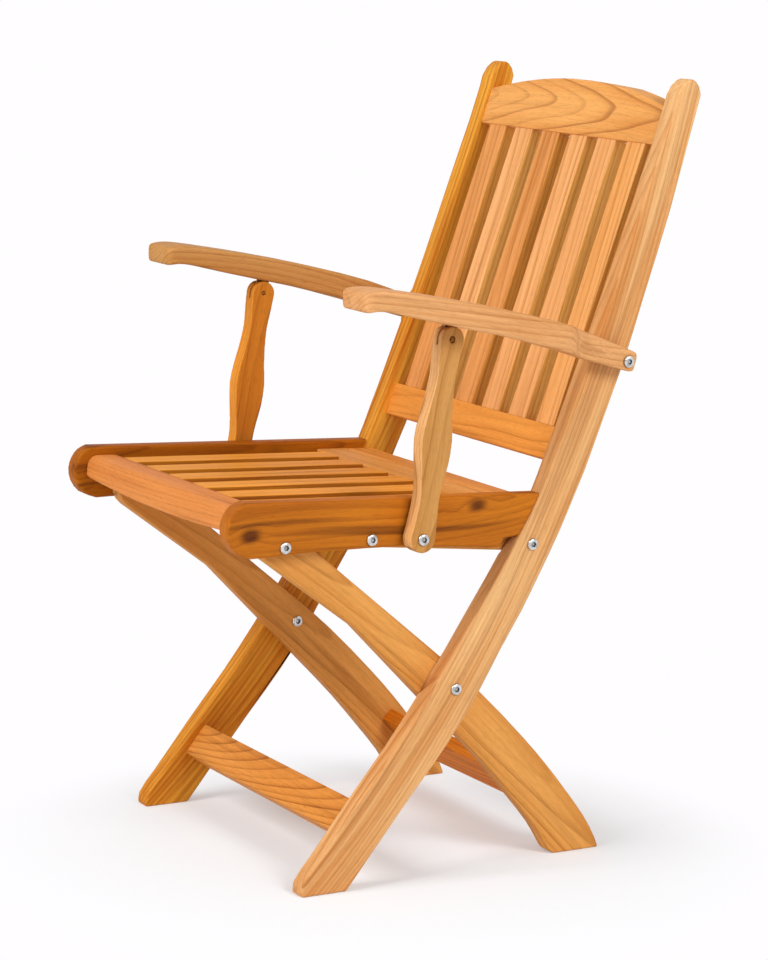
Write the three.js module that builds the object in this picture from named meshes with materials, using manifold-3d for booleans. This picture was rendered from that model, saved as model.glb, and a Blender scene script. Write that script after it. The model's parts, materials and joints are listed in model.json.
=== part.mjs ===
// A folding wooden armchair with a slatted seat and back, all lengths in millimetres.
// +X is the sitter's left, the chair faces -Y and +Z is up. The origin lies on the floor
// under the middle of the open chair. Every board is drawn as it stands when the chair is open.

import * as THREE from 'three';
import { mergeVertices } from 'three/addons/utils/BufferGeometryUtils.js';
import Module from 'manifold-3d';

const wasm = await Module();
wasm.setup();

// Overall sizes of the open chair, which all side outlines follow
const chairHeight = 898;
const chairDepth = 596;

// Widths across the chair
const clearWidth = 389.8;
const postThickness = 25;
const seatRailThickness = 22;
const legThickness = 22;
const armWidth = 60.8;
const armTabWidth = 24.2;
const supportThickness = 20;
const supportStandoff = 4.4;

// Clearances
const slideGap = 0.8;
const jointGap = 0.3;
const buttGap = 0.6;
const foldGap = 0.5;

// Joinery
const tenonDepth = 12;
const tenonThickness = 7;
const tenonShoulder = 5;

// Back
const crestDrop = 75;
const crestWidth = 42;
const crestRise = 21;
const crestThickness = 20;
const lowerRailRise = 41.7;
const lowerRailWidth = 40;
const lowerRailThickness = 20;
const crestSetback = 3.8;
const lowerRailSetback = 13;
const backSlatCount = 6;
const backSlatGap = 23.4;
const backSlatPitchShare = 0.16;
const backSlatThickness = 17;

// Seat
const seatSlatCount = 6;
const seatSlatGap = 25;
const seatSlatPitchShare = 0.16;
const seatSlatThickness = 17;
const seatSlatDrop = 10.2;
const frontRailThickness = 26;
const frontRailBelly = 6.5;
const rearBoardThickness = 20;
const crossRailClearance = 5.6;

// Legs
const linkWidth = 24;
const legEndRadius = 22;
const frontStretcherWidth = 42;
const frontStretcherThickness = 30;
const frontStretcherSetback = 10;
const rearStretcherWidth = 58;
const rearStretcherThickness = 17;
const rearStretcherLean = THREE.MathUtils.degToRad(-40.9);

// Arm rests and their supports
const supportFootRadius = 15.5;
const armCornerRadius = 9;
const bracketThickness = 2;
const bracketWidth = 16;
const bracketInset = 13;
const bracketSlotBelow = 8.6;

// Fasteners
const sleeveRadius = 4.5;
const boltHeadRadius = 7.3;
const boltHeadHeight = 3;
const socketRadius = 2.6;
const socketDepth = 1.8;
const nutHeadHeight = 2.4;
const pinRadius = 2.5;
const pinHeadRadius = 4.2;
const pinHeadHeight = 1.6;
const pinRecess = 2.4;
const boltRimShare = 0.35;
const boltShoulderShare = 0.12;
const turnSteps = 14;
const arcSteps = 9;
const curveSteps = 2;
const overrun = 5;

// Angles in degrees
const quarterTurn = 90;
const halfTurn = 180;
const fullTurn = 360;

// Places in the side view, as shares of the chair's depth and height
const pivotShares = {
  linkOnPost: [0.1426, 0.4198],
  legOnPost: [-0.0201, 0.2433],
  legOnSeat: [-0.3820, 0.4433],
  linkOnSeat: [-0.2022, 0.4434],
  supportOnSeat: [-0.1161, 0.4438],
  supportOnArm: [-0.0596, 0.6899],
  armOnPost: [0.3221, 0.6492],
};
const postFrontShares = [
  [-0.3440, 0], [-0.3423, 0.0145], [-0.3070, 0.0445], [-0.2268, 0.1114], [-0.1496, 0.1737],
  [-0.0791, 0.2361], [-0.0257, 0.2873], [0.0205, 0.3341], [0.0664, 0.3797], [0.1141, 0.4310],
  [0.1604, 0.4838], [0.1857, 0.5237], [0.2122, 0.5656], [0.2584, 0.6427], [0.3087, 0.7285],
  [0.3510, 0.8041], [0.3918, 0.8771], [0.4146, 0.9166], [0.4400, 0.9661],
];
const postTopShares = [
  [0.4455, 0.9800], [0.4567, 0.9917], [0.4690, 0.9980], [0.4780, 1], [0.4870, 0.9975],
  [0.4955, 0.9900],
];
const postRearShares = [
  [0.5000, 0.9800], [0.4369, 0.8352], [0.3800, 0.7227], [0.3468, 0.6570], [0.3160, 0.6047],
  [0.2601, 0.5122], [0.2399, 0.4833], [0.2027, 0.4310], [0.1610, 0.3797], [0.1225, 0.3341],
  [0.0775, 0.2873], [0.0318, 0.2361], [-0.0344, 0.1737], [-0.1132, 0.1114], [-0.1955, 0.0445],
  [-0.2492, 0],
];
const seatRailTopShares = [[-0.4631, 0.5019], [0.1532, 0.4839]];
const seatRailNoseShares = [
  [-0.4631, 0.5019], [-0.4800, 0.4968], [-0.4930, 0.4866], [-0.5000, 0.4720], [-0.4960, 0.4553],
  [-0.4790, 0.4400], [-0.4513, 0.4325],
];
const seatRailUnderShares = [
  [-0.4150, 0.4325], [-0.3322, 0.4341], [-0.2685, 0.4334], [-0.1426, 0.4314], [0.0755, 0.4184],
];
const seatRailNotchShares = [[0.0841, 0.4296], [0.1700, 0.4320]];
const legUpperShares = [
  [-0.2919, 0.4276], [-0.2483, 0.4020], [-0.0268, 0.2784], [0.0570, 0.2294], [0.1611, 0.1592],
  [0.2131, 0.1203], [0.2576, 0.0835], [0.3003, 0.0457], [0.3272, 0.0145], [0.3356, 0],
];
const legLowerShares = [
  [0.2349, 0], [0.2215, 0.0045], [0.2114, 0.0156], [0.1862, 0.0423], [0.1409, 0.0791],
  [0.0797, 0.1269], [0.0034, 0.1804], [-0.0738, 0.2327], [-0.2148, 0.3296],
];
const armUnderShares = [
  [0.3070, 0.6392], [0.2232, 0.6553], [0.1628, 0.6687], [0.0151, 0.6957], [-0.0604, 0.7069],
  [-0.1460, 0.7200], [-0.1980, 0.7284], [-0.2250, 0.7326], [-0.2483, 0.7346], [-0.2640, 0.7337],
  [-0.2735, 0.7328],
];
const armFrontShares = [[-0.2775, 0.7345], [-0.2785, 0.7400], [-0.2785, 0.7510], [-0.2765, 0.7560]];
const armTopShares = [
  [-0.2701, 0.7580], [-0.2450, 0.7595], [-0.2181, 0.7578], [-0.1611, 0.7517], [-0.0604, 0.7394],
  [0.0570, 0.7227], [0.1891, 0.6993], [0.2785, 0.6771], [0.3230, 0.6650],
];
const armEndShares = [
  [0.3405, 0.6604], [0.3439, 0.6582], [0.3444, 0.6551], [0.3368, 0.6376], [0.3341, 0.6353],
  [0.3295, 0.6350],
];
const armSweepShares = [[0.1560, 0], [0.1720, 0.14], [0.1860, 0.42], [0.2010, 0.78], [0.2240, 1]];
const frontRailShares = [-0.4732, -0.4094];
const frontRailRoundShares = [
  [1, 0], [1, 0.4], [0.975, 0.64], [0.91, 0.84], [0.80, 0.96], [0.66, 1], [0, 1],
];
const rearBoardShares = [0.0419, 0.1141];
const crossRailShares = [0.1146, 0.1678];
const frontStretcherHeightShare = 0.0955;
const rearStretcherShares = [0.2274, 0.0738];

// Half widths of the arm support along its length, as shares of that length
const supportWaistShares = [
  [0.090, 0.060, 0.058], [0.188, 0.053, 0.049], [0.309, 0.065, 0.055], [0.403, 0.080, 0.067],
  [0.505, 0.0885, 0.083], [0.617, 0.074, 0.081], [0.707, 0.057, 0.067], [0.796, 0.049, 0.058],
  [0.895, 0.056, 0.065],
];

// The sitter's left and right, with the sign of their X
const sides = [['left', 1], ['right', -1]];

// Planes across the chair
const postInner = clearWidth / 2;
const postOuter = postInner + postThickness;
const seatRailOuter = postInner + seatRailThickness;
const legOuter = postInner - slideGap;
const legInner = legOuter - legThickness;
const armInner = postOuter + slideGap;
const armOuter = armInner + armWidth;
const supportInner = seatRailOuter + supportStandoff;
const supportOuter = supportInner + supportThickness;
const supportMiddle = (supportInner + supportOuter) / 2;
const crossSpan = postInner - jointGap;

// Slats across the back and the seat
const backSlatPitch = backSlatPitchShare * clearWidth;
const backSlatWidth = backSlatPitch - backSlatGap;
const seatSlatPitch = seatSlatPitchShare * clearWidth;
const seatSlatWidth = seatSlatPitch - seatSlatGap;

// Materials
const timber = (color) => new THREE.MeshStandardMaterial({ color, roughness: 0.5, metalness: 0 });
const honeyTeak = timber(0xdba063);
const darkTeak = timber(0xb8722e);
const amberTeak = timber(0xe39a50);
const paleTeak = timber(0xd79a63);
const zinc = new THREE.MeshStandardMaterial({ color: 0xc9c9c4, roughness: 0.3, metalness: 1 });

// Points of the side view, in which x runs along the chair's Y and y along its Z
const sidePoint = ([y, z]) => new THREE.Vector2(y * chairDepth, z * chairHeight);
const sidePoints = (shares) => shares.map(sidePoint);

const pivots = {};
for (const [name, shares] of Object.entries(pivotShares)) {
  pivots[name] = sidePoint(shares);
}

// A smooth line through the given points
function smoothLine(points) {
  const knots = points.map((point) => new THREE.Vector3(point.x, point.y, 0));
  const curve = new THREE.CatmullRomCurve3(knots, false, 'centripetal');
  const line = curve.getPoints((points.length - 1) * curveSteps);
  return line.map((point) => new THREE.Vector2(point.x, point.y));
}

// An arc about a point, its angles in degrees from the chair's +Y towards +Z
function arc(centre, radius, fromAngle, toAngle) {
  const points = [];
  for (let i = 0; i <= arcSteps; i++) {
    const angle = THREE.MathUtils.degToRad(fromAngle + ((toAngle - fromAngle) * i) / arcSteps);
    const spoke = new THREE.Vector2(Math.cos(angle), Math.sin(angle));
    points.push(spoke.multiplyScalar(radius).add(centre));
  }
  return points;
}

// Where a line of side points, which rises or falls all along, passes a given height
function placeAtHeight(line, height) {
  for (let i = 1; i < line.length; i++) {
    const low = line[i - 1];
    const high = line[i];
    if (height <= high.y || i === line.length - 1) {
      return low.x + ((high.x - low.x) * (height - low.y)) / (high.y - low.y);
    }
  }
  return line[0].x;
}

// The height of the straight line through two side points
function heightAtPlace([front, rear], place) {
  return front.y + ((rear.y - front.y) * (place - front.x)) / (rear.x - front.x);
}

// Solids

function toSolid(geometry) {
  const bare = geometry.index ? geometry.toNonIndexed() : geometry.clone();
  bare.deleteAttribute('normal');
  bare.deleteAttribute('uv');
  const merged = mergeVertices(bare);
  const vertProperties = new Float32Array(merged.attributes.position.array);
  const triVerts = new Uint32Array(merged.index.array);
  return new wasm.Manifold(new wasm.Mesh({ numProp: 3, vertProperties, triVerts }));
}

function toGeometry(solid) {
  const { vertProperties, triVerts } = solid.getMesh();
  const geometry = new THREE.BufferGeometry();
  geometry.setAttribute('position', new THREE.BufferAttribute(vertProperties, 3));
  geometry.setIndex(new THREE.BufferAttribute(triVerts, 1));
  geometry.computeVertexNormals();
  return geometry;
}

function piece(name, solid, material) {
  const mesh = new THREE.Mesh(toGeometry(solid), material);
  mesh.name = name;
  return mesh;
}

const axisX = new THREE.Vector3(1, 0, 0);
const axisY = new THREE.Vector3(0, 1, 0);
const axisZ = new THREE.Vector3(0, 0, 1);
const sideways = new THREE.Matrix4().makeBasis(axisY, axisZ, axisX);
const frontways = new THREE.Matrix4().makeBasis(axisX, axisZ, axisY.clone().negate());

// A board cut to a side outline, between two planes across the chair
function board(outline, xFrom, xTo) {
  const shape = new THREE.Shape(outline);
  const geometry = new THREE.ExtrudeGeometry(shape, { depth: xTo - xFrom, bevelEnabled: false });
  geometry.applyMatrix4(sideways);
  geometry.translate(xFrom, 0, 0);
  return toSolid(geometry);
}

// The same board on the left, where side is 1, or on the right, where side is -1
function sideBoard(outline, side, xInner, xOuter) {
  return side > 0 ? board(outline, xInner, xOuter) : board(outline, -xOuter, -xInner);
}

// A round rod along X
function rod(centre, radius, side, xInner, xOuter) {
  const geometry = new THREE.CylinderGeometry(radius, radius, xOuter - xInner, turnSteps);
  geometry.rotateZ(Math.PI / 2);
  geometry.translate((side * (xInner + xOuter)) / 2, centre.x, centre.y);
  return toSolid(geometry);
}

// The corners of a plank seen from the side, which leans back by an angle from upright
function leaningRectangle(centre, length, thickness, lean) {
  const along = new THREE.Vector2(Math.sin(lean), Math.cos(lean)).multiplyScalar(length / 2);
  const across = new THREE.Vector2(Math.cos(lean), -Math.sin(lean)).multiplyScalar(thickness / 2);
  const corner = (a, b) => centre.clone().addScaledVector(along, a).addScaledVector(across, b);
  return [corner(-1, -1), corner(-1, 1), corner(1, 1), corner(1, -1)];
}

// A plank in the side view: where its middle lies, its size and its lean
function plank(centre, length, thickness, lean) {
  return { centre, length, thickness, lean };
}

function plankOutline({ centre, length, thickness, lean }) {
  return leaningRectangle(centre, length, thickness, lean);
}

// The tenon on the ends of a plank that crosses the chair, and with a growth its mortise
function crossTenon({ centre, length, lean }, reach, growth) {
  const width = length - 2 * tenonShoulder + 2 * growth;
  const outline = leaningRectangle(centre, width, tenonThickness + 2 * growth, lean);
  return board(outline, -reach - growth, reach + growth);
}

// The tenon on the ends of a slat that runs along the plank, and with a growth its mortise
function slatTenon({ centre, length, lean }, x, width, growth) {
  const reach = length + 2 * tenonDepth + 2 * growth;
  const outline = leaningRectangle(centre, reach, tenonThickness + 2 * growth, lean);
  const half = width / 2 - tenonShoulder + growth;
  return board(outline, x - half, x + half);
}

function slatSolid(slat, x, width) {
  const body = board(plankOutline(slat), x - width / 2, x + width / 2);
  return body.add(slatTenon(slat, x, width, 0));
}

// The places of evenly spaced slats across the chair, the same to the left and to the right
function slatPlaces(count, pitch) {
  const places = [];
  for (let i = 0; i < count; i++) {
    places.push((i - (count - 1) / 2) * pitch);
  }
  return places;
}

// Fasteners, turned about X from a profile of radii and distances along the axis

function turned(profile) {
  const points = profile.map(([radius, along]) => new THREE.Vector2(radius, along));
  const geometry = new THREE.LatheGeometry(points, turnSteps);
  geometry.rotateZ(-Math.PI / 2);
  return toSolid(geometry);
}

// A domed bolt head with a socket, from the face that it stands on
function boltHead(face) {
  const top = face + boltHeadHeight;
  const rim = face + boltHeadHeight * boltRimShare;
  const shoulder = top - boltHeadHeight * boltShoulderShare;
  return [
    [boltHeadRadius, face], [boltHeadRadius, rim], [(boltHeadRadius + socketRadius) / 2, shoulder],
    [socketRadius, top], [socketRadius, top - socketDepth], [0, top - socketDepth],
  ];
}

// A sleeve bolt whose head stands on the face of a board of the given thickness
function boltSolid(thickness) {
  const face = thickness + jointGap;
  return turned([[0, 0], [sleeveRadius, 0], [sleeveRadius, face], ...boltHead(face)]);
}

// The sleeve nut that meets the bolt, with a low flat head
function nutSolid(thickness) {
  const face = thickness + jointGap;
  const top = face + nutHeadHeight;
  return turned([
    [0, 0], [sleeveRadius, 0], [sleeveRadius, face], [boltHeadRadius, face],
    [boltHeadRadius, face + nutHeadHeight / 2], [sleeveRadius, top], [0, top],
  ]);
}

// A bolt with a spacer collar under its board, for the arm support's foot
function shoulderBoltSolid(thickness, standoff) {
  const start = standoff - 2 * jointGap;
  const face = start + jointGap + thickness + jointGap;
  return turned([
    [0, 0], [boltHeadRadius, 0], [boltHeadRadius, start], [sleeveRadius, start],
    [sleeveRadius, face], ...boltHead(face),
  ]);
}

function barrelNutSolid(thickness) {
  return turned([[0, 0], [sleeveRadius, 0], [sleeveRadius, thickness], [0, thickness]]);
}

// The pin of the arm support, whose low head lies sunk in the support's outer face
function armPinSolid() {
  const length = supportThickness - pinRecess;
  const top = length + pinHeadHeight;
  return turned([
    [0, jointGap], [pinRadius, jointGap], [pinRadius, length + jointGap],
    [pinHeadRadius, length + jointGap], [pinHeadRadius, top], [0, top],
  ]);
}

// Sets a turned piece on a pivot at a plane, pointing out of the chair or into it
function fastener(name, solid, side, x, pivot, outward) {
  const mesh = piece(name, solid, zinc);
  mesh.position.set(side * x, pivot.x, pivot.y);
  mesh.rotation.z = (outward ? side : -side) > 0 ? 0 : Math.PI;
  return mesh;
}

function pivotHole(solid, pivot, side, xInner, xOuter) {
  const hole = rod(pivot, sleeveRadius + jointGap, side, xInner - overrun, xOuter + overrun);
  return solid.subtract(hole);
}

// Outlines and places that several pieces share

const postFront = smoothLine(sidePoints(postFrontShares));
const postRear = smoothLine(sidePoints(postRearShares));
const postOutline = [...postFront, ...sidePoints(postTopShares), ...postRear];
const seatTop = sidePoints(seatRailTopShares);
const seatLean = Math.atan2(seatTop[1].x - seatTop[0].x, seatTop[1].y - seatTop[0].y);

// A place behind the posts' front faces, at a given height
function behindPostFront(setback, height) {
  return new THREE.Vector2(placeAtHeight(postFront, height) + setback, height);
}

const [frontRailFront, frontRailRear] = frontRailShares.map((share) => share * chairDepth);
const [rearBoardFront, rearBoardRear] = rearBoardShares.map((share) => share * chairDepth);
const [crossRailFront, crossRailRear] = crossRailShares.map((share) => share * chairDepth);
const crestBottom = chairHeight - crestDrop;
const lowerRailHeight = heightAtPlace(seatTop, crossRailRear) - seatSlatDrop + lowerRailRise;
const backLow = behindPostFront(lowerRailSetback, lowerRailHeight);
const backHigh = behindPostFront(crestSetback, crestBottom);
const backLean = Math.atan2(backHigh.x - backLow.x, backHigh.y - backLow.y);
const backAlong = new THREE.Vector2(Math.sin(backLean), Math.cos(backLean));
const backAcross = new THREE.Vector2(Math.cos(backLean), -Math.sin(backLean));

// A plank of the back that rises from its lower front edge
function backPlank(edge, length, thickness) {
  const centre = edge.clone().addScaledVector(backAlong, length / 2);
  centre.addScaledVector(backAcross, thickness / 2);
  return plank(centre, length, thickness, backLean);
}

const crestLength = (crestWidth + crestRise) / Math.cos(backLean);
const crest = backPlank(backHigh, crestLength, crestThickness);
const lowerRail = backPlank(backLow, lowerRailWidth, lowerRailThickness);

// The part of the crest rail below its arch, where its tenons are
function crestTenonPlank() {
  const length = crestWidth / Math.cos(backLean);
  const centre = crest.centre.clone().addScaledVector(backAlong, (length - crest.length) / 2);
  return plank(centre, length, crest.thickness, backLean);
}

// The middle line of the back slats, from the lower rail up to the crest rail
function backSlatPlank() {
  const low = lowerRail.centre.clone().addScaledVector(backAlong, lowerRail.length / 2);
  const high = crest.centre.clone().addScaledVector(backAlong, -crest.length / 2);
  const length = low.distanceTo(high) - 2 * jointGap;
  return plank(low.add(high).multiplyScalar(1 / 2), length, backSlatThickness, backLean);
}

// The board between the front legs, behind the posts' front faces
function frontStretcherPlank() {
  const height = frontStretcherHeightShare * chairHeight;
  const half = frontStretcherWidth / 2;
  const low = behindPostFront(0, height - half);
  const high = behindPostFront(0, height + half);
  const lean = Math.atan2(high.x - low.x, high.y - low.y);
  const across = new THREE.Vector2(Math.cos(lean), -Math.sin(lean));
  const centre = behindPostFront(0, height);
  centre.addScaledVector(across, frontStretcherSetback + frontStretcherThickness / 2);
  return plank(centre, frontStretcherWidth, frontStretcherThickness, lean);
}

// A plank of the seat between two places along the chair, at a depth below the rails' tops
function seatPlank(frontPlace, rearPlace, thickness) {
  const place = (frontPlace + rearPlace) / 2;
  const length = (rearPlace - frontPlace) / Math.sin(seatLean);
  const height = heightAtPlace(seatTop, place) - seatSlatDrop - thickness / 2;
  return plank(new THREE.Vector2(place, height), length, thickness, seatLean);
}

const backSlat = backSlatPlank();
const frontStretcher = frontStretcherPlank();
const rearStretcher = plank(
  sidePoint(rearStretcherShares), rearStretcherWidth, rearStretcherThickness, rearStretcherLean,
);
const frontRail = seatPlank(frontRailFront, frontRailRear, frontRailThickness);
const rearBoard = seatPlank(rearBoardFront, rearBoardRear, rearBoardThickness);
const seatSlat = seatPlank(
  frontRailRear + jointGap, rearBoardFront - jointGap, seatSlatThickness,
);

// Back frame, which stands on the long legs

function postSolid(side) {
  let solid = sideBoard(postOutline, side, postInner, postOuter);
  for (const pivot of [pivots.linkOnPost, pivots.legOnPost, pivots.armOnPost]) {
    solid = pivotHole(solid, pivot, side, postInner, postOuter);
  }
  for (const rail of [crestTenonPlank(), lowerRail, frontStretcher]) {
    solid = solid.subtract(crossTenon(rail, crossSpan + tenonDepth, jointGap));
  }
  return solid;
}

function crossBoardSolid(rail, halfSpan) {
  const body = board(plankOutline(rail), -halfSpan, halfSpan);
  return body.add(crossTenon(rail, halfSpan + tenonDepth, 0));
}

const backSlatPlaces = slatPlaces(backSlatCount, backSlatPitch);

function withBackMortises(solid) {
  let cut = solid;
  for (const x of backSlatPlaces) {
    cut = cut.subtract(slatTenon(backSlat, x, backSlatWidth, jointGap));
  }
  return cut;
}

// A panel seen from the front, between a straight edge at one height and an arch that springs
// from another height. A rise below zero makes the arch hang down.
function archedPanel(edge, spring, rise) {
  const radius = (crossSpan ** 2 + rise ** 2) / (2 * rise);
  const half = Math.asin(crossSpan / radius);
  const points = [new THREE.Vector2(-crossSpan, edge)];
  points.push(new THREE.Vector2(crossSpan, edge));
  for (let i = 0; i <= 2 * arcSteps; i++) {
    const angle = half - (half * i) / arcSteps;
    const height = spring + rise - radius * (1 - Math.cos(angle));
    points.push(new THREE.Vector2(radius * Math.sin(angle), height));
  }
  const geometry = new THREE.ExtrudeGeometry(new THREE.Shape(points), {
    depth: 2 * chairDepth,
    bevelEnabled: false,
  });
  geometry.applyMatrix4(frontways);
  geometry.translate(0, chairDepth, 0);
  return toSolid(geometry);
}

function crestSolid() {
  const blank = board(plankOutline(crest), -crossSpan, crossSpan);
  const arch = archedPanel(crestBottom - overrun, crestBottom + crestWidth, crestRise);
  const arched = blank.intersect(arch);
  const tenons = crossTenon(crestTenonPlank(), crossSpan + tenonDepth, 0);
  return withBackMortises(arched.add(tenons));
}

function backFrame() {
  const group = new THREE.Group();
  group.add(piece('crest_rail', crestSolid(), honeyTeak));
  const lower = withBackMortises(crossBoardSolid(lowerRail, crossSpan));
  group.add(piece('lower_back_rail', lower, amberTeak));
  backSlatPlaces.forEach((x, i) => {
    const solid = slatSolid(backSlat, x, backSlatWidth);
    group.add(piece(`back_slat_${i + 1}`, solid, honeyTeak));
  });
  const stretcher = crossBoardSolid(frontStretcher, crossSpan);
  group.add(piece('front_leg_stretcher', stretcher, amberTeak));
  for (const [name, side] of sides) {
    group.add(piece(`post_${name}`, postSolid(side), honeyTeak));
    const bolt = boltSolid(postThickness);
    const nut = nutSolid(postThickness);
    group.add(fastener(`link_pivot_bolt_${name}`, bolt, side, postInner, pivots.linkOnPost, true));
    group.add(fastener(`leg_pivot_bolt_${name}`, bolt, side, postInner, pivots.legOnPost, true));
    group.add(fastener(`arm_pivot_nut_${name}`, nut, side, postOuter, pivots.armOnPost, false));
  }
  return group;
}

// Seat

// The side rail runs through to the post's front face, where it rests when the chair is open
function seatRailSolid(side) {
  const nose = smoothLine(sidePoints(seatRailNoseShares));
  const under = smoothLine(sidePoints(seatRailUnderShares));
  const notch = sidePoints(seatRailNotchShares);
  const outline = [...nose, ...under, ...notch];
  const end = notch[notch.length - 1].x;
  outline.push(new THREE.Vector2(end, heightAtPlace(seatTop, end)));
  const shifted = postOutline.map((point) => new THREE.Vector2(point.x - buttGap, point.y));
  let solid = sideBoard(outline, side, postInner, seatRailOuter);
  solid = solid.subtract(sideBoard(shifted, side, postInner - overrun, seatRailOuter + overrun));
  for (const pivot of [pivots.legOnSeat, pivots.linkOnSeat, pivots.supportOnSeat]) {
    solid = pivotHole(solid, pivot, side, postInner, seatRailOuter);
  }
  for (const rail of [frontRail, rearBoard]) {
    solid = solid.subtract(crossTenon(rail, crossSpan + tenonDepth, jointGap));
  }
  return solid;
}

// The front rail is rounded over from its top to its front, and its underside hangs in an arch
function frontRailSolid() {
  const corners = plankOutline(frontRail);
  const [frontTop, frontUnder] = [corners[0], corners[1]];
  const [rearTop, rearUnder] = [corners[3], corners[2]];
  const forward = frontTop.clone().sub(rearTop);
  const up = frontTop.clone().sub(frontUnder);
  const outline = frontRailRoundShares.map(([along, rise]) => {
    return rearUnder.clone().addScaledVector(forward, along).addScaledVector(up, rise);
  });
  const hang = 2 * frontRailBelly;
  outline.unshift(new THREE.Vector2(frontUnder.x, frontUnder.y - hang));
  outline.push(rearUnder.clone(), new THREE.Vector2(rearUnder.x, rearUnder.y - hang));
  const blank = board(outline, -crossSpan, crossSpan);
  const arched = blank.intersect(archedPanel(chairHeight, frontUnder.y, -frontRailBelly));
  return arched.add(crossTenon(frontRail, crossSpan + tenonDepth, 0));
}

const seatSlatPlaces = slatPlaces(seatSlatCount, seatSlatPitch);

function withSeatMortises(solid) {
  let cut = solid;
  for (const x of seatSlatPlaces) {
    cut = cut.subtract(slatTenon(seatSlat, x, seatSlatWidth, jointGap));
  }
  return cut;
}

// The rail at the seat's rear reaches back between the posts, just over the links' ends
function crossRailSolid() {
  const place = (crossRailFront + crossRailRear) / 2;
  const under = pivots.linkOnPost.y + linkWidth / 2 + crossRailClearance;
  const thickness = heightAtPlace(seatTop, place) - seatSlatDrop - under;
  const rail = seatPlank(crossRailFront, crossRailRear, thickness);
  return board(plankOutline(rail), buttGap - postInner, postInner - buttGap);
}

function seat() {
  const group = new THREE.Group();
  group.add(piece('seat_front_rail', withSeatMortises(frontRailSolid()), amberTeak));
  const rear = withSeatMortises(crossBoardSolid(rearBoard, crossSpan));
  group.add(piece('seat_rear_board', rear, amberTeak));
  group.add(piece('seat_cross_rail', crossRailSolid(), amberTeak));
  seatSlatPlaces.forEach((x, i) => {
    const solid = slatSolid(seatSlat, x, seatSlatWidth);
    group.add(piece(`seat_slat_${i + 1}`, solid, amberTeak));
  });
  for (const [name, side] of sides) {
    group.add(piece(`seat_rail_${name}`, seatRailSolid(side), darkTeak));
    const bolt = boltSolid(seatRailThickness);
    const barrel = barrelNutSolid(seatRailThickness);
    group.add(fastener(`seat_leg_bolt_${name}`, bolt, side, postInner, pivots.legOnSeat, true));
    group.add(fastener(`seat_link_bolt_${name}`, bolt, side, postInner, pivots.linkOnSeat, true));
    group.add(
      fastener(`support_barrel_nut_${name}`, barrel, side, postInner, pivots.supportOnSeat, true),
    );
  }
  return group;
}

// Rear legs, which carry the seat's front and cross the posts

const legTopStart = 233;
const legTopEnd = 50;

function rearLegSolid(side) {
  const top = arc(pivots.legOnSeat, legEndRadius, legTopStart, legTopEnd);
  const upper = smoothLine(sidePoints(legUpperShares));
  const lower = smoothLine(sidePoints(legLowerShares));
  let solid = sideBoard([...top, ...upper, ...lower], side, legInner, legOuter);
  solid = pivotHole(solid, pivots.legOnSeat, side, legInner, legOuter);
  solid = pivotHole(solid, pivots.legOnPost, side, legInner, legOuter);
  return solid.subtract(crossTenon(rearStretcher, legInner - jointGap + tenonDepth, jointGap));
}

function rearLegs() {
  const group = new THREE.Group();
  const stretcher = crossBoardSolid(rearStretcher, legInner - jointGap);
  group.add(piece('rear_leg_stretcher', stretcher, amberTeak));
  for (const [name, side] of sides) {
    group.add(piece(`rear_leg_${name}`, rearLegSolid(side), amberTeak));
    const nut = nutSolid(legThickness);
    group.add(fastener(`leg_pivot_nut_${name}`, nut, side, legOuter, pivots.legOnPost, false));
    group.add(fastener(`seat_leg_nut_${name}`, nut, side, legOuter, pivots.legOnSeat, false));
  }
  return group;
}

// Hidden links, which tie the seat to the posts

function linkSolid(side) {
  const { linkOnPost, linkOnSeat } = pivots;
  const run = linkOnSeat.clone().sub(linkOnPost);
  const angle = THREE.MathUtils.radToDeg(run.angle());
  const seatEnd = arc(linkOnSeat, linkWidth / 2, angle - quarterTurn, angle + quarterTurn);
  const postEnd = arc(linkOnPost, linkWidth / 2, angle + quarterTurn, angle + 3 * quarterTurn);
  let solid = sideBoard([...seatEnd, ...postEnd], side, legInner, legOuter);
  for (const pivot of [linkOnPost, linkOnSeat]) {
    solid = pivotHole(solid, pivot, side, legInner, legOuter);
  }
  return solid;
}

function link(name, side) {
  const group = new THREE.Group();
  const nut = nutSolid(legThickness);
  group.add(piece(`link_${name}`, linkSolid(side), amberTeak));
  group.add(fastener(`link_post_nut_${name}`, nut, side, legOuter, pivots.linkOnPost, false));
  group.add(fastener(`link_seat_nut_${name}`, nut, side, legOuter, pivots.linkOnSeat, false));
  return group;
}

// Arm rests

const armUnder = smoothLine(sidePoints(armUnderShares));
const armTop = smoothLine(sidePoints(armTopShares));

const armOutline = [
  ...armUnder, ...sidePoints(armFrontShares), ...armTop, ...sidePoints(armEndShares),
];

// The plan of the arm: full width in front, swept in to a narrow tab beside the post
function armPlan(side) {
  const front = sidePoint(armFrontShares[1]).x;
  const rear = chairDepth;
  const tab = armInner + armTabWidth;
  const inset = front + armCornerRadius;
  const innerCorner = new THREE.Vector2(armInner + armCornerRadius, inset);
  const outerCorner = new THREE.Vector2(armOuter - armCornerRadius, inset);
  const plan = arc(innerCorner, armCornerRadius, halfTurn, 3 * quarterTurn);
  plan.push(...arc(outerCorner, armCornerRadius, 3 * quarterTurn, fullTurn));
  const sweep = armSweepShares.map(([place, share]) => {
    return new THREE.Vector2(armOuter + (tab - armOuter) * share, place * chairDepth);
  });
  plan.push(...smoothLine(sweep));
  plan.push(new THREE.Vector2(tab, rear), new THREE.Vector2(armInner, rear));
  const shape = new THREE.Shape(plan.map((point) => new THREE.Vector2(side * point.x, point.y)));
  const geometry = new THREE.ExtrudeGeometry(shape, { depth: chairHeight, bevelEnabled: false });
  return toSolid(geometry);
}

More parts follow.
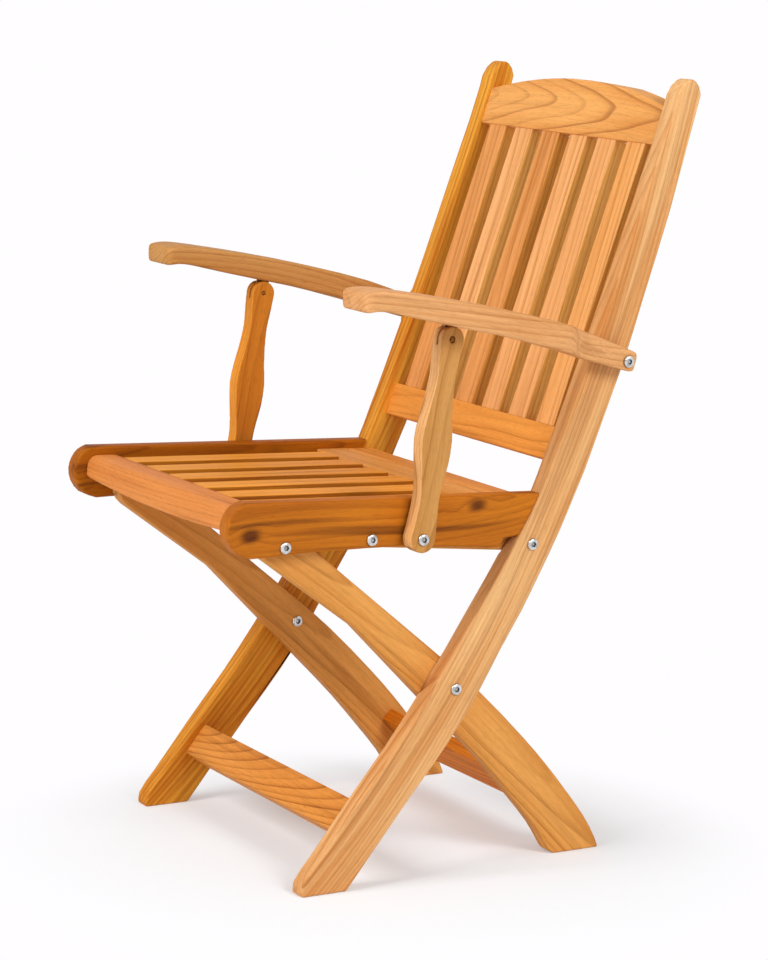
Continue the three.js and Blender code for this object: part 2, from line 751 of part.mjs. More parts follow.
// The distance from the support's upper pivot to the underside of the arm
function armUnderDistance() {
  const pivot = pivots.supportOnArm;
  let least = Infinity;
  for (let i = 1; i < armUnder.length; i++) {
    const stretch = armUnder[i].clone().sub(armUnder[i - 1]);
    const offset = pivot.clone().sub(armUnder[i - 1]);
    const share = THREE.MathUtils.clamp(offset.dot(stretch) / stretch.lengthSq(), 0, 1);
    least = Math.min(least, offset.addScaledVector(stretch, -share).length());
  }
  return least;
}

const supportTopRadius = armUnderDistance() - foldGap;

// The steel tongue let into the arm, which carries the support's upper pin
function bracketOutline(growth) {
  const pivot = pivots.supportOnArm;
  const half = bracketWidth / 2 + growth;
  const angle = armLean() + quarterTurn;
  const radians = THREE.MathUtils.degToRad(angle);
  const rise = new THREE.Vector2(Math.cos(radians), Math.sin(radians));
  const across = new THREE.Vector2(rise.y, -rise.x).multiplyScalar(half);
  const top = pivot.clone().addScaledVector(rise, armUnderDistance() + bracketInset + growth);
  const foot = arc(pivot, half, angle + quarterTurn, angle + 3 * quarterTurn);
  return [...foot, top.clone().add(across), top.sub(across)];
}

// The slope of the arm over the support, in degrees
function armLean() {
  const pivot = pivots.supportOnArm;
  let nearest = 1;
  for (let i = 1; i < armUnder.length; i++) {
    if (armUnder[i].x < pivot.x) {
      nearest = i;
      break;
    }
  }
  const stretch = armUnder[nearest - 1].clone().sub(armUnder[nearest]);
  return THREE.MathUtils.radToDeg(Math.atan2(stretch.y, stretch.x));
}

function bracketSolid(side, growth) {
  const half = bracketThickness / 2 + growth;
  const plate = sideBoard(bracketOutline(growth), side, supportMiddle - half, supportMiddle + half);
  if (growth > 0) {
    return plate;
  }
  return plate.subtract(rod(pivots.supportOnArm, pinRadius + jointGap, side, armInner, armOuter));
}

function armSolid(side) {
  let solid = sideBoard(armOutline, side, armInner, armOuter).intersect(armPlan(side));
  solid = pivotHole(solid, pivots.armOnPost, side, armInner, armOuter);
  return solid.subtract(bracketSolid(side, jointGap));
}

function arm(name, side) {
  const group = new THREE.Group();
  const bolt = boltSolid(armTabWidth);
  group.add(piece(`arm_${name}`, armSolid(side), paleTeak));
  group.add(piece(`arm_bracket_${name}`, bracketSolid(side, 0), zinc));
  group.add(fastener(`arm_pivot_bolt_${name}`, bolt, side, armInner, pivots.armOnPost, true));
  return group;
}

// Arm supports, shaped like flat balusters

function supportOutline() {
  const { supportOnArm, supportOnSeat } = pivots;
  const run = supportOnSeat.clone().sub(supportOnArm);
  const length = run.length();
  const along = run.clone().normalize();
  const forward = new THREE.Vector2(along.y, -along.x);
  const angle = THREE.MathUtils.radToDeg(run.angle());
  const station = (share, half) => {
    const point = supportOnArm.clone().addScaledVector(along, share * length);
    return point.addScaledVector(forward, half * length);
  };
  const top = arc(supportOnArm, supportTopRadius, angle + quarterTurn, angle + 3 * quarterTurn);
  const foot = arc(supportOnSeat, supportFootRadius, angle - quarterTurn, angle + quarterTurn);
  const rear = supportWaistShares.map(([share, , half]) => station(share, -half));
  const front = supportWaistShares.map(([share, half]) => station(share, half));
  const down = smoothLine([top[top.length - 1], ...front, foot[0]]).slice(1, -1);
  const up = smoothLine([foot[foot.length - 1], ...rear.reverse(), top[0]]).slice(1, -1);
  return [...top, ...down, ...foot, ...up];
}

function supportSolid(side) {
  const pivot = pivots.supportOnArm;
  const outer = supportOuter + overrun;
  const solid = sideBoard(supportOutline(), side, supportInner, supportOuter);
  const bored = pivotHole(solid, pivots.supportOnSeat, side, supportInner, supportOuter);
  const pinHole = rod(pivot, pinRadius + jointGap, side, supportInner - overrun, outer);
  const recess = rod(pivot, pinHeadRadius + jointGap, side, supportOuter - pinRecess, outer);
  return bored.subtract(pinHole).subtract(recess).subtract(tongueSlot(side));
}

// The slot in the support's top, open above, in which the tongue turns
function tongueSlot(side) {
  const { supportOnArm, supportOnSeat } = pivots;
  const along = supportOnSeat.clone().sub(supportOnArm).normalize();
  const lean = Math.atan2(along.x, along.y);
  const length = bracketSlotBelow + supportTopRadius + overrun;
  const centre = supportOnArm.clone().addScaledVector(along, bracketSlotBelow - length / 2);
  const outline = leaningRectangle(centre, length, 2 * supportTopRadius + overrun, lean);
  const half = bracketThickness / 2 + jointGap;
  return sideBoard(outline, side, supportMiddle - half, supportMiddle + half);
}

function support(name, side) {
  const group = new THREE.Group();
  const bolt = shoulderBoltSolid(supportThickness, supportStandoff);
  const foot = seatRailOuter + jointGap;
  group.add(piece(`arm_support_${name}`, supportSolid(side), paleTeak));
  const pin = armPinSolid();
  group.add(fastener(`support_pin_${name}`, pin, side, supportInner, pivots.supportOnArm, true));
  group.add(fastener(`support_bolt_${name}`, bolt, side, foot, pivots.supportOnSeat, true));
  return group;
}

const chair = new THREE.Group();
chair.add(backFrame(), seat(), rearLegs());
for (const [name, side] of sides) {
  chair.add(link(name, side), arm(name, side), support(name, side));
}

export default chair;
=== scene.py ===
# %% [markdown]
# # A folding teak armchair
#
# The chair in this lesson stands open on a white studio floor. Its wooden parts are oiled
# teak: two long bent posts, a slatted back, a slatted seat between two deep dark rails,
# crossed rear legs, two flat arm rests and two turned-looking supports that were in fact sawn
# from flat boards. Bright zinc bolts join everything that has to turn.
#
# The sizes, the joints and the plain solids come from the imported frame. This script gives each
# board its rounded edges and its grain, each bolt its domed head and hexagon socket, and the
# whole chair its light. The frame's solids stay where they are: each new piece takes the place
# of one of them and moves with the same body when the chair folds.

# %% Load the frame
import json
import math

import bmesh
import bpy
import numpy as np
from mathutils import Matrix, Vector
from mathutils.bvhtree import BVHTree

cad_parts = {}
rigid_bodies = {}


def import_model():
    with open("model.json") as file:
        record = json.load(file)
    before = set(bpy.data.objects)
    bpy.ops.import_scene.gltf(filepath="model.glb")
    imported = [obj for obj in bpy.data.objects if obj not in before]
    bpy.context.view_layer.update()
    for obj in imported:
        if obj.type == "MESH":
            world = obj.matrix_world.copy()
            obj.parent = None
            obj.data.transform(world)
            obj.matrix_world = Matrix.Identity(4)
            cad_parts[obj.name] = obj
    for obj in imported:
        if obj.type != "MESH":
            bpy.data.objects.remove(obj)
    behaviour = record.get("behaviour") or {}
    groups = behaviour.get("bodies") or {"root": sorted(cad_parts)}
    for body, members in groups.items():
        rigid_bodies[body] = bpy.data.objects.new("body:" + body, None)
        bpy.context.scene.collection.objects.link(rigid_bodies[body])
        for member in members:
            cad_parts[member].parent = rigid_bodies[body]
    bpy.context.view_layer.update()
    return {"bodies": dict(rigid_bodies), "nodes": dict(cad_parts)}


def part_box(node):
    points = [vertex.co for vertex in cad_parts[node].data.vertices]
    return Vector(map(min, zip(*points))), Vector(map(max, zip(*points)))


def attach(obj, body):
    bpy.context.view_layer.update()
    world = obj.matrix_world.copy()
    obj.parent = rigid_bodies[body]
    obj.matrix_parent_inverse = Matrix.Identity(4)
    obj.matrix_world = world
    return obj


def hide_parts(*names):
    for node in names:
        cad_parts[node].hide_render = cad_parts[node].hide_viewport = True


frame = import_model()
MM = 0.001
print("nodes:", len(frame["nodes"]))

# %% [markdown]
# ## The camera
#
# The photograph was taken from the chair's front left, a little above the seat, with a long
# lens, so that lines across the chair hardly converge. A camera could be turned by eye, but
# this one was worked out from the picture itself: seven bolts and the corners of the boards,
# whose places in space are known, fix the place and the turn of the camera to a few
# millimetres. A camera looks along its own minus Z axis, so its three axes become the columns
# of its matrix. The Standard view transform shows every colour as it is computed, so a tone
# that is right in the material is right in the picture.

# %% Place the camera
AZIMUTH = math.radians(61.211)
ELEVATION = math.radians(10.017)
ROLL = math.radians(0.74)
LENS = 123.75
SENSOR_WIDTH = 36
CAMERA_PLACE = Vector((3.3547, -1.8305, 1.0968))

forward = Vector((-math.sin(AZIMUTH) * math.cos(ELEVATION),
                  math.cos(AZIMUTH) * math.cos(ELEVATION), -math.sin(ELEVATION)))
level = Vector((math.cos(AZIMUTH), math.sin(AZIMUTH), 0))
upright = level.cross(forward)
right = level * math.cos(ROLL) + upright * math.sin(ROLL)
up = upright * math.cos(ROLL) - level * math.sin(ROLL)

camera = bpy.data.objects.new("Camera", bpy.data.cameras.new("Camera"))
bpy.context.scene.collection.objects.link(camera)
turn = Matrix((right, up, -forward)).transposed().to_4x4()
camera.matrix_world = Matrix.Translation(CAMERA_PLACE) @ turn
camera.data.lens = LENS
camera.data.sensor_width = SENSOR_WIDTH
camera.data.sensor_fit = "AUTO"
bpy.context.scene.camera = camera
bpy.context.scene.view_settings.view_transform = "Standard"
print("camera at", tuple(round(c, 3) for c in CAMERA_PLACE))

# %% [markdown]
# ## Building materials with nodes
#
# A material in Blender is a small network of nodes. Two short helpers keep that network
# readable in code: one makes a node and feeds its sockets, and one starts a material. A colour
# is written as in a paint shop (#rrggbb) and turned into the linear numbers that Blender
# computes with.

# %% Helpers for colours and nodes
def paint(code):
    """A #rrggbb colour as linear red, green, blue and alpha."""
    parts = [int(code[i:i + 2], 16) / 255 for i in (1, 3, 5)]
    return tuple(c / 12.92 if c <= 0.04045 else ((c + 0.055) / 1.055) ** 2.4 for c in parts) + (1,)


def add_node(tree, kind, inputs=None, **settings):
    """Adds a node, sets its options and feeds its sockets with values or other sockets."""
    node = tree.nodes.new(kind)
    for key, value in settings.items():
        setattr(node, key, value)
    for key, value in (inputs or {}).items():
        if isinstance(value, bpy.types.NodeSocket):
            tree.links.new(value, node.inputs[key])
        else:
            node.inputs[key].default_value = value
    return node


def new_material(name):
    """A new material, its node tree and its Principled shader."""
    material = bpy.data.materials.new(name)
    material.use_nodes = True
    return material, material.node_tree, material.node_tree.nodes["Principled BSDF"]


print("honey teak as linear colour:", tuple(round(c, 3) for c in paint("#EDB374")))

# %% [markdown]
# ## Small blocks for patterns
#
# Every pattern below is built of the same few blocks: a sum or a product, a mix of two
# colours, a noise that is stretched along the board, and a smooth step from one value to
# another. A node group packs a whole pattern into one node, which many materials can share.

# %% Helpers for patterns
def calc(tree, operation, *values, clamp=False):
    """A Math node's output."""
    numbered = dict(enumerate(values))
    node = add_node(tree, "ShaderNodeMath", numbered, operation=operation, use_clamp=clamp)
    return node.outputs[0]


def mix_colour(tree, share, first, second, blend="MIX"):
    """A Mix node's output between two colours."""
    inputs = {0: share, 6: first, 7: second}
    return add_node(tree, "ShaderNodeMix", inputs, data_type="RGBA", blend_type=blend).outputs[2]


def stretched_noise(tree, place, per_metre, detail=2.0, roughness=0.5):
    """Noise with its own density along, across and through the board."""
    scaled = add_node(tree, "ShaderNodeVectorMath", {0: place, 1: per_metre}, operation="MULTIPLY")
    return add_node(tree, "ShaderNodeTexNoise", {"Vector": scaled.outputs[0], "Scale": 1.0,
                                                 "Detail": detail, "Roughness": roughness})


def ramp(tree, value, low, high):
    """Rises smoothly from 0 to 1 while value goes from low to high."""
    inputs = {0: value, 1: low, 2: high, 3: 0.0, 4: 1.0}
    node = add_node(tree, "ShaderNodeMapRange", inputs, interpolation_type="SMOOTHSTEP")
    return node.outputs[0]


def hump(tree, value, rise, fall):
    """Rises from 0 to 1 over one stretch of value and falls back over another."""
    return calc(tree, "MULTIPLY", ramp(tree, value, *rise),
                calc(tree, "SUBTRACT", 1.0, ramp(tree, value, *fall)))


def group_tree(name, inputs, outputs):
    """An empty shader node group with the given sockets."""
    tree = bpy.data.node_groups.new(name, "ShaderNodeTree")
    for label, kind, value in inputs:
        socket = tree.interface.new_socket(label, in_out="INPUT", socket_type=kind)
        if value is not None:
            socket.default_value = value
    for label, kind in outputs:
        tree.interface.new_socket(label, in_out="OUTPUT", socket_type=kind)
    start, end = tree.nodes.new("NodeGroupInput"), tree.nodes.new("NodeGroupOutput")
    return tree, start.outputs, end.inputs


pattern_blocks = (calc, mix_colour, stretched_noise, ramp, hump)
print("blocks for patterns:", ", ".join(block.__name__ for block in pattern_blocks))

# %% [markdown]
# ## Teak
#
# A tree grows as a stack of thin cones around its pith, and a board is a flat slice of that
# stack. Where the slice lies side on to the pith, the rings show as parallel lines. Where it
# lies flat, they show as the arches that joiners call cathedrals. So one solid pattern of
# cones, placed differently in each board, gives every face of every board the figure that it
# really has, the end grain too. A flat image of wood couldn't do that.
#
# On top of the rings come the things that make teak look like teak: long bands of lighter and
# darker wood, a few dark mineral streaks, fine fibres and short open pores. They all run along
# the board, so they are noises that are stretched ten to sixty times in that direction.
#
# Coordinates come in metres, with X along the grain, Y across the board and Z through it. All
# that differs from board to board is an input of the group. What every teak board has alike
# stands in two tables: how many specks of each noise fit in a metre in each direction, and
# between which two values each noise turns into a mark.

# %% The group's sockets and the numbers of the grain
DENSITY = {
    "drift": (3.0, 14.0, 14.0), "knot": (17.0, 26.0, 26.0), "broad": (1.7, 38.0, 38.0),
    "narrow": (4.0, 210.0, 210.0), "mineral": (2.2, 75.0, 75.0),
    "fibre": (14.0, 900.0, 900.0), "pore": (95.0, 1300.0, 1300.0), "cloud": (4.5, 9.0, 9.0),
}
STEP = {
    "broad": (0.36, 0.64), "narrow": (0.34, 0.66), "mineral": (0.57, 0.72), "pore": (0.6, 0.72),
    "knot": (0.08, 0.3), "bulge": (0.0, 0.6), "edge": (0.55, 0.85),
}

teak, teak_in, teak_out = group_tree(
    "Teak",
    [("Vector", "NodeSocketVector", None), ("Seed", "NodeSocketFloat", 1.0),
     ("Light", "NodeSocketColor", paint("#EDB374")), ("Deep", "NodeSocketColor", paint("#D8924E")),
     ("Streak", "NodeSocketColor", paint("#8A4A18")), ("Pith", "NodeSocketVector", (0, 0.02, 0.06)),
     ("Ring Width", "NodeSocketFloat", 0.007), ("Taper", "NodeSocketFloat", 0.03),
     ("Figure", "NodeSocketFloat", 0.012), ("Rings", "NodeSocketFloat", 0.5),
     ("Bands", "NodeSocketFloat", 0.6), ("Streaks", "NodeSocketFloat", 0.3),
     ("Lines", "NodeSocketFloat", 0.25), ("Knots", "NodeSocketFloat", 0.0),
     ("Clouds", "NodeSocketFloat", 0.5),
     ("Bend Across", "NodeSocketVector", (0, 0, 0)),
     ("Bend Through", "NodeSocketVector", (0, 0, 0)),
     ("Normal", "NodeSocketVector", (0, 0, 1)), ("Edge Axis", "NodeSocketVector", (0, 1, 0)),
     ("Edge Tint", "NodeSocketVector", (1, 1, 1))],
    [("Color", "NodeSocketColor"), ("Roughness", "NodeSocketFloat"), ("Height", "NodeSocketFloat")])
print("inputs:", ", ".join(label for label in teak_in.keys() if label))

# %% [markdown]
# ## Straightening a board
#
# The posts, the legs and the arm rests are bent, and their grain follows the bend. So each
# board tells the group the curve of its middle line, a cubic in X. Taken away from Y and Z, it
# leaves a straight board. The seed then moves every board to a place of its own in the noises,
# so that no two are alike.

# %% Take the bend away and add the seed
SEED_STEP = {"X": 3.7, "Y": 1.9, "Z": 2.3}

lie = add_node(teak, "ShaderNodeSeparateXYZ", {0: teak_in["Vector"]}).outputs
straight = add_node(teak, "ShaderNodeCombineXYZ", {"X": lie["X"]})
for socket, bend in (("Y", "Bend Across"), ("Z", "Bend Through")):
    factors = add_node(teak, "ShaderNodeSeparateXYZ", {0: teak_in[bend]}).outputs
    curve = calc(teak, "MULTIPLY_ADD", factors["Z"], lie["X"], factors["Y"])
    curve = calc(teak, "MULTIPLY_ADD", curve, lie["X"], factors["X"])
    curve = calc(teak, "MULTIPLY", curve, lie["X"])
    teak.links.new(calc(teak, "SUBTRACT", lie[socket], curve), straight.inputs[socket])
straight = straight.outputs[0]

seed_place = add_node(teak, "ShaderNodeCombineXYZ")
for socket, step in SEED_STEP.items():
    teak.links.new(calc(teak, "MULTIPLY", teak_in["Seed"], step), seed_place.inputs[socket])
wood_place = add_node(teak, "ShaderNodeVectorMath",
                      {0: straight, 1: seed_place.outputs[0]}).outputs[0]
print("teak group so far:", len(teak.nodes), "nodes")

# %% [markdown]
# ## Rings round the pith
#
# The distance from the pith, with a little added along the board for the tree's taper, counts
# the rings. A slow noise moves that distance to and fro, because no tree grows evenly.
#
# A knot is a branch that the saw went through: a dark spot that the rings swing round. Voronoi
# cells scatter such spots, and a lot is drawn for each cell, so that only a share of them gets
# a knot.
#
# Within a ring the wood darkens slowly towards the late wood and then starts afresh. A random
# number for each ring makes some years strong and others faint.

# %% Count the rings
KNOT_BULGE = 4 * MM

drift = stretched_noise(teak, wood_place, DENSITY["drift"], detail=1.5)
drift = add_node(teak, "ShaderNodeVectorMath", {0: drift.outputs["Color"], 1: (0.5, 0.5, 0.5)},
                 operation="SUBTRACT")
drift = add_node(teak, "ShaderNodeVectorMath", {0: drift.outputs[0]}, operation="SCALE")
teak.links.new(teak_in["Figure"], drift.inputs["Scale"])
from_pith = add_node(teak, "ShaderNodeVectorMath", {0: straight, 1: teak_in["Pith"]},
                     operation="SUBTRACT")
from_pith = add_node(teak, "ShaderNodeVectorMath", {0: from_pith.outputs[0], 1: drift.outputs[0]})
axes = add_node(teak, "ShaderNodeSeparateXYZ", {0: from_pith.outputs[0]}).outputs
radius = calc(teak, "SQRT", calc(teak, "MULTIPLY_ADD", axes["Y"], axes["Y"],
                                 calc(teak, "MULTIPLY", axes["Z"], axes["Z"])))
cone = calc(teak, "MULTIPLY_ADD", axes["X"], teak_in["Taper"], radius)

knot_place = add_node(teak, "ShaderNodeVectorMath", {0: wood_place, 1: DENSITY["knot"]},
                      operation="MULTIPLY").outputs[0]
cells = add_node(teak, "ShaderNodeTexVoronoi", {"Vector": knot_place, "Scale": 1.0})
lot = add_node(teak, "ShaderNodeSeparateColor", {0: cells.outputs["Color"]}).outputs[0]
chosen = calc(teak, "GREATER_THAN", lot, calc(teak, "SUBTRACT", 1.0, teak_in["Knots"]))
knot = calc(teak, "SUBTRACT", 1.0, ramp(teak, cells.outputs["Distance"], *STEP["knot"]))
knot = calc(teak, "MULTIPLY", knot, chosen)
bulge = calc(teak, "SUBTRACT", 1.0, ramp(teak, cells.outputs["Distance"], *STEP["bulge"]))
bulge = calc(teak, "MULTIPLY", bulge, chosen)
cone = calc(teak, "MULTIPLY_ADD", bulge, KNOT_BULGE, cone)
print("teak group so far:", len(teak.nodes), "nodes")

# %% Mark the late wood and the line at the end of each ring
LATE_WOOD = dict(rise=(0.25, 0.9), fall=(0.92, 1.0))
RING_LINE = dict(rise=(0.7, 0.92), fall=(0.94, 1.0))
FAINTEST_MARK = 0.2
FAINTEST_LINE = 0.3

rings = calc(teak, "DIVIDE", cone, teak_in["Ring Width"])
ring_number = calc(teak, "FLOOR", rings)
ring_place = calc(teak, "SUBTRACT", rings, ring_number)
late_wood = hump(teak, ring_place, **LATE_WOOD)
ring_line = hump(teak, ring_place, **RING_LINE)
ring_lot = add_node(teak, "ShaderNodeTexWhiteNoise", {"W": ring_number}, noise_dimensions="1D")
ring_lot = ring_lot.outputs["Value"]
ring_strength = calc(teak, "MULTIPLY_ADD", ring_lot, 1 - FAINTEST_MARK, FAINTEST_MARK)
ring_mark = calc(teak, "MULTIPLY", late_wood, ring_strength)
print("teak group so far:", len(teak.nodes), "nodes")

# %% [markdown]
# ## Bands, streaks, fibres and pores
#
# Six noises make what lies over the rings: broad and narrow bands, mineral streaks, fibres,
# pores and slow clouds that darken whole stretches of a board. Teak's pores are open and
# short, so they are the densest noise, cut off to leave only its peaks.

# %% Noises along the board
broad = stretched_noise(teak, wood_place, DENSITY["broad"]).outputs[0]
narrow = stretched_noise(teak, wood_place, DENSITY["narrow"]).outputs[0]
mineral = stretched_noise(teak, wood_place, DENSITY["mineral"], detail=1.0).outputs[0]
fibre = stretched_noise(teak, wood_place, DENSITY["fibre"], roughness=0.7).outputs[0]
pore = stretched_noise(teak, wood_place, DENSITY["pore"], detail=0.0).outputs[0]
pores = ramp(teak, pore, *STEP["pore"])
cloud = stretched_noise(teak, wood_place, DENSITY["cloud"], detail=1.0).outputs[0]
print("teak group so far:", len(teak.nodes), "nodes")

# %% [markdown]
# ## From marks to colour
#
# First the bands, the late wood and the clouds add up to one tone between the board's light
# and its deep colour. Then streaks, strong rings and knots draw the streak colour over it. The
# fibres brighten and darken the result a little, and each pore is a dark speck. Last, the
# narrow faces of the board are tinted, which the mask from the normal finds.
#
# Fibres and pores also make the wood rougher, and they give a height for the bump.

# %% Mix the teak's colour
BROAD_SHARE = 0.65
RING_STREAK = 0.35
KNOT_DARK = 0.85
FIBRE_LIGHT, FIBRE_BASE = 0.44, 0.78
PORE_DARK = -0.12

band = calc(teak, "ADD", calc(teak, "MULTIPLY", ramp(teak, broad, *STEP["broad"]), BROAD_SHARE),
            calc(teak, "MULTIPLY", ramp(teak, narrow, *STEP["narrow"]), 1 - BROAD_SHARE))
band = calc(teak, "MULTIPLY", band, teak_in["Bands"])
ring_tone = calc(teak, "MULTIPLY", ring_mark, teak_in["Rings"])
tone = calc(teak, "ADD", band, ring_tone)
tone = calc(teak, "MULTIPLY_ADD", calc(teak, "SUBTRACT", cloud, 0.5), teak_in["Clouds"], tone,
            clamp=True)
wood = mix_colour(teak, tone, teak_in["Light"], teak_in["Deep"])
streak_tone = calc(teak, "MULTIPLY", ramp(teak, mineral, *STEP["mineral"]), teak_in["Streaks"])
streak_tone = calc(teak, "MULTIPLY_ADD", calc(teak, "MULTIPLY", ring_mark, ring_tone), RING_STREAK,
                   streak_tone, clamp=True)
line_strength = calc(teak, "MULTIPLY_ADD", ring_lot, 1 - FAINTEST_LINE, FAINTEST_LINE)
line_tone = calc(teak, "MULTIPLY", ring_line, line_strength)
streak_tone = calc(teak, "MULTIPLY_ADD", line_tone, teak_in["Lines"], streak_tone)
streak_tone = calc(teak, "MULTIPLY_ADD", knot, KNOT_DARK, streak_tone, clamp=True)
wood = mix_colour(teak, streak_tone, wood, teak_in["Streak"])
fine = calc(teak, "MULTIPLY_ADD", fibre, FIBRE_LIGHT, FIBRE_BASE)
fine = calc(teak, "MULTIPLY_ADD", pores, PORE_DARK, fine)
shade = add_node(teak, "ShaderNodeCombineColor", {0: fine, 1: fine, 2: fine}).outputs[0]
wood = mix_colour(teak, 1.0, wood, shade, blend="MULTIPLY")
# the edge tint, which some boards use for painted shade or painted light on their narrow faces
facing = add_node(teak, "ShaderNodeVectorMath", {0: teak_in["Normal"], 1: teak_in["Edge Axis"]},
                  operation="DOT_PRODUCT").outputs["Value"]
on_edge = ramp(teak, calc(teak, "ABSOLUTE", facing), *STEP["edge"])
edged = add_node(teak, "ShaderNodeVectorMath", {0: wood, 1: teak_in["Edge Tint"]},
                 operation="MULTIPLY")
wood = mix_colour(teak, on_edge, wood, edged.outputs[0])
teak.links.new(wood, teak_out["Color"])
print("teak group so far:", len(teak.nodes), "nodes")

# %% Give out roughness and height
SHEEN_ROUGHNESS, FIBRE_ROUGHNESS, PORE_ROUGHNESS = 0.46, 0.2, 0.15
FIBRE_HEIGHT, PORE_HEIGHT, RING_HEIGHT = 0.5, -0.5, 0.25

rough = calc(teak, "MULTIPLY_ADD", pores, PORE_ROUGHNESS,
             calc(teak, "MULTIPLY_ADD", fibre, FIBRE_ROUGHNESS, SHEEN_ROUGHNESS))
teak.links.new(rough, teak_out["Roughness"])
height = calc(teak, "MULTIPLY_ADD", pores, PORE_HEIGHT, calc(teak, "MULTIPLY", fibre, FIBRE_HEIGHT))
height = calc(teak, "MULTIPLY_ADD", ring_mark, RING_HEIGHT, height)
teak.links.new(height, teak_out["Height"])
print("teak group:", len(teak.nodes), "nodes")

# %% [markdown]
# ## Which way each board lies
#
# The pattern needs to know how each board lies. Its two wide faces have more area than any
# others, so the direction that most of the area faces is the one through the board. The grain
# then runs along the longest stretch that is square to it. A Mapping node of the Texture kind
# takes the place and turn of the board away again, so that the pattern sees every board lying
# flat at the centre.
#
# A bent board also needs its curve. Cuts square to the grain find the middle of the board at
# even steps, and a cubic is fitted through those middles.

# %% Find the lie and the bend of a board
BEND_STATIONS = 25
BEND_REACH = 0.94


def board_lie(node):
    """The centre of a board, and its axes along the grain, across and through it."""
    mesh = frame["nodes"][node].data
    mesh.calc_loop_triangles()
    spread = np.zeros((3, 3))
    for triangle in mesh.loop_triangles:
        spread += triangle.area * np.outer(triangle.normal, triangle.normal)
    through = np.linalg.eigh(spread)[1][:, 2]
    points = np.array([v.co for v in mesh.vertices])
    flat = points - points.mean(0)
    flat -= np.outer(flat @ through, through)
    along = np.linalg.eigh(flat.T @ flat)[1][:, 2]
    if along[np.argmax(abs(along))] < 0:
        along = -along
    across = np.cross(through, along)
    axes = Matrix((along, across, through)).transposed()
    low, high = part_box(node)
    return (low + high) / 2, axes


def board_bend(node, side):
    """Factors of x, x squared and x cubed for the board's middle line.

    Side 1 is the curve across the board, side 2 the one through it."""
    centre, axes = board_lie(node)
    mesh = frame["nodes"][node].data
    points = np.array([axes.transposed() @ (v.co - centre) for v in mesh.vertices])[:, (0, side)]
    ends = points[np.array([e.vertices for e in mesh.edges])]
    reach = BEND_REACH * abs(points[:, 0]).max()
    stations, middles = [], []
    for station in np.linspace(-reach, reach, BEND_STATIONS):
        crossing = ends[(ends[:, 0, 0] - station) * (ends[:, 1, 0] - station) < 0]
        if len(crossing) > 1:
            share = (station - crossing[:, 0, 0]) / (crossing[:, 1, 0] - crossing[:, 0, 0])
            heights = crossing[:, 0, 1] + share * (crossing[:, 1, 1] - crossing[:, 0, 1])
            stations.append(station)
            middles.append((heights.min() + heights.max()) / 2)
    cubic, square, linear = np.polyfit(stations, middles, 3)[:3]
    return float(linear), float(square), float(cubic)


post_axes = board_lie("post_left")[1]
print("left post runs along", tuple(round(c, 2) for c in post_axes.col[0]))
print("its bend:", [round(c, 3) for c in board_bend("post_left", 1)])

# %% [markdown]
# ## One teak for each board
#
# Boards of one chair come from different planks: the posts are pale and straight, the side
# rails of the seat dark and full of knots, the top rail has a bold arch of rings. So each
# board has its own material, which places the same teak group with that board's colours, seed
# and place in the tree. The far post and the far seat rail get darker, more saturated tones
# than their near twins. That difference is painted shade, as the faces of them that are seen
# lie in shade. The Principled shader stays outside the group, as the groups only make colours,
# values and masks. Oiled teak has a low sheen, a little broken by the open pores.
#
# The narrow faces of a board may look other than its wide ones. Between two seat slats they
# are darkened with painted shade, as they lie in the shade of their neighbours, and on the arm
# supports they are lightened with painted light, as if lit from the front. On the back slats
# they only lose a little blue. The edge tint says how much more or less red, green and blue
# they have.

# %% The tones of the planks
TONES = {
    "honey": dict(Light="#ECB87C", Deep="#CD8544", Streak="#A15C25"),
    # painted shade: the far post's tone is darker and more saturated, as its seen inner face lies
    # in shade
    "gold": dict(Light="#F3AE3C", Deep="#C57014", Streak="#8A4410"),
    "crest": dict(Light="#F0AB5F", Deep="#D98B40", Streak="#8D4517"),
    "slat": dict(Light="#F8B576", Deep="#DB924D", Streak="#9F5B22"),
    "umber": dict(Light="#E99F5B", Deep="#C97C38", Streak="#8F501C"),
    "sun": dict(Light="#F7B169", Deep="#DE9248", Streak="#97511B"),
    "seat": dict(Light="#F2A43F", Deep="#DB872A", Streak="#974D11"),
    "rail": dict(Light="#F09F46", Deep="#DA8530", Streak="#924B12"),
    "amber": dict(Light="#E49644", Deep="#CF7E2D", Streak="#8E4812"),
    "brown": dict(Light="#E2841D", Deep="#CC6D0F", Streak="#8A3E05"),
    "leg": dict(Light="#E49F51", Deep="#C97F34", Streak="#864713"),
    "dark": dict(Light="#C67216", Deep="#9B4E08", Streak="#4B1E03"),
    # painted shade: the far seat rail's tone is darker than the near rail's dark wood, as its seen
    # inner face lies in shade under the seat
    "deep": dict(Light="#B66604", Deep="#8E4401", Streak="#331001"),
    "red": dict(Light="#DF8C46", Deep="#C5702D", Streak="#843C11"),
    "pale": dict(Light="#E4A86F", Deep="#CC8A4F", Streak="#9D6133"),
    "bronze": dict(Light="#C79052", Deep="#B47739", Streak="#8B5325"),
    "tan": dict(Light="#CA914F", Deep="#B87B39", Streak="#884D19"),
    "tawny": dict(Light="#CA7E26", Deep="#B86A19", Streak="#85420A"),
}
print("tones:", ", ".join(TONES))

# %% A material for one board
SPECULAR = 0.12
BUMP_STRENGTH = 0.35
BUMP_HEIGHT = 0.4


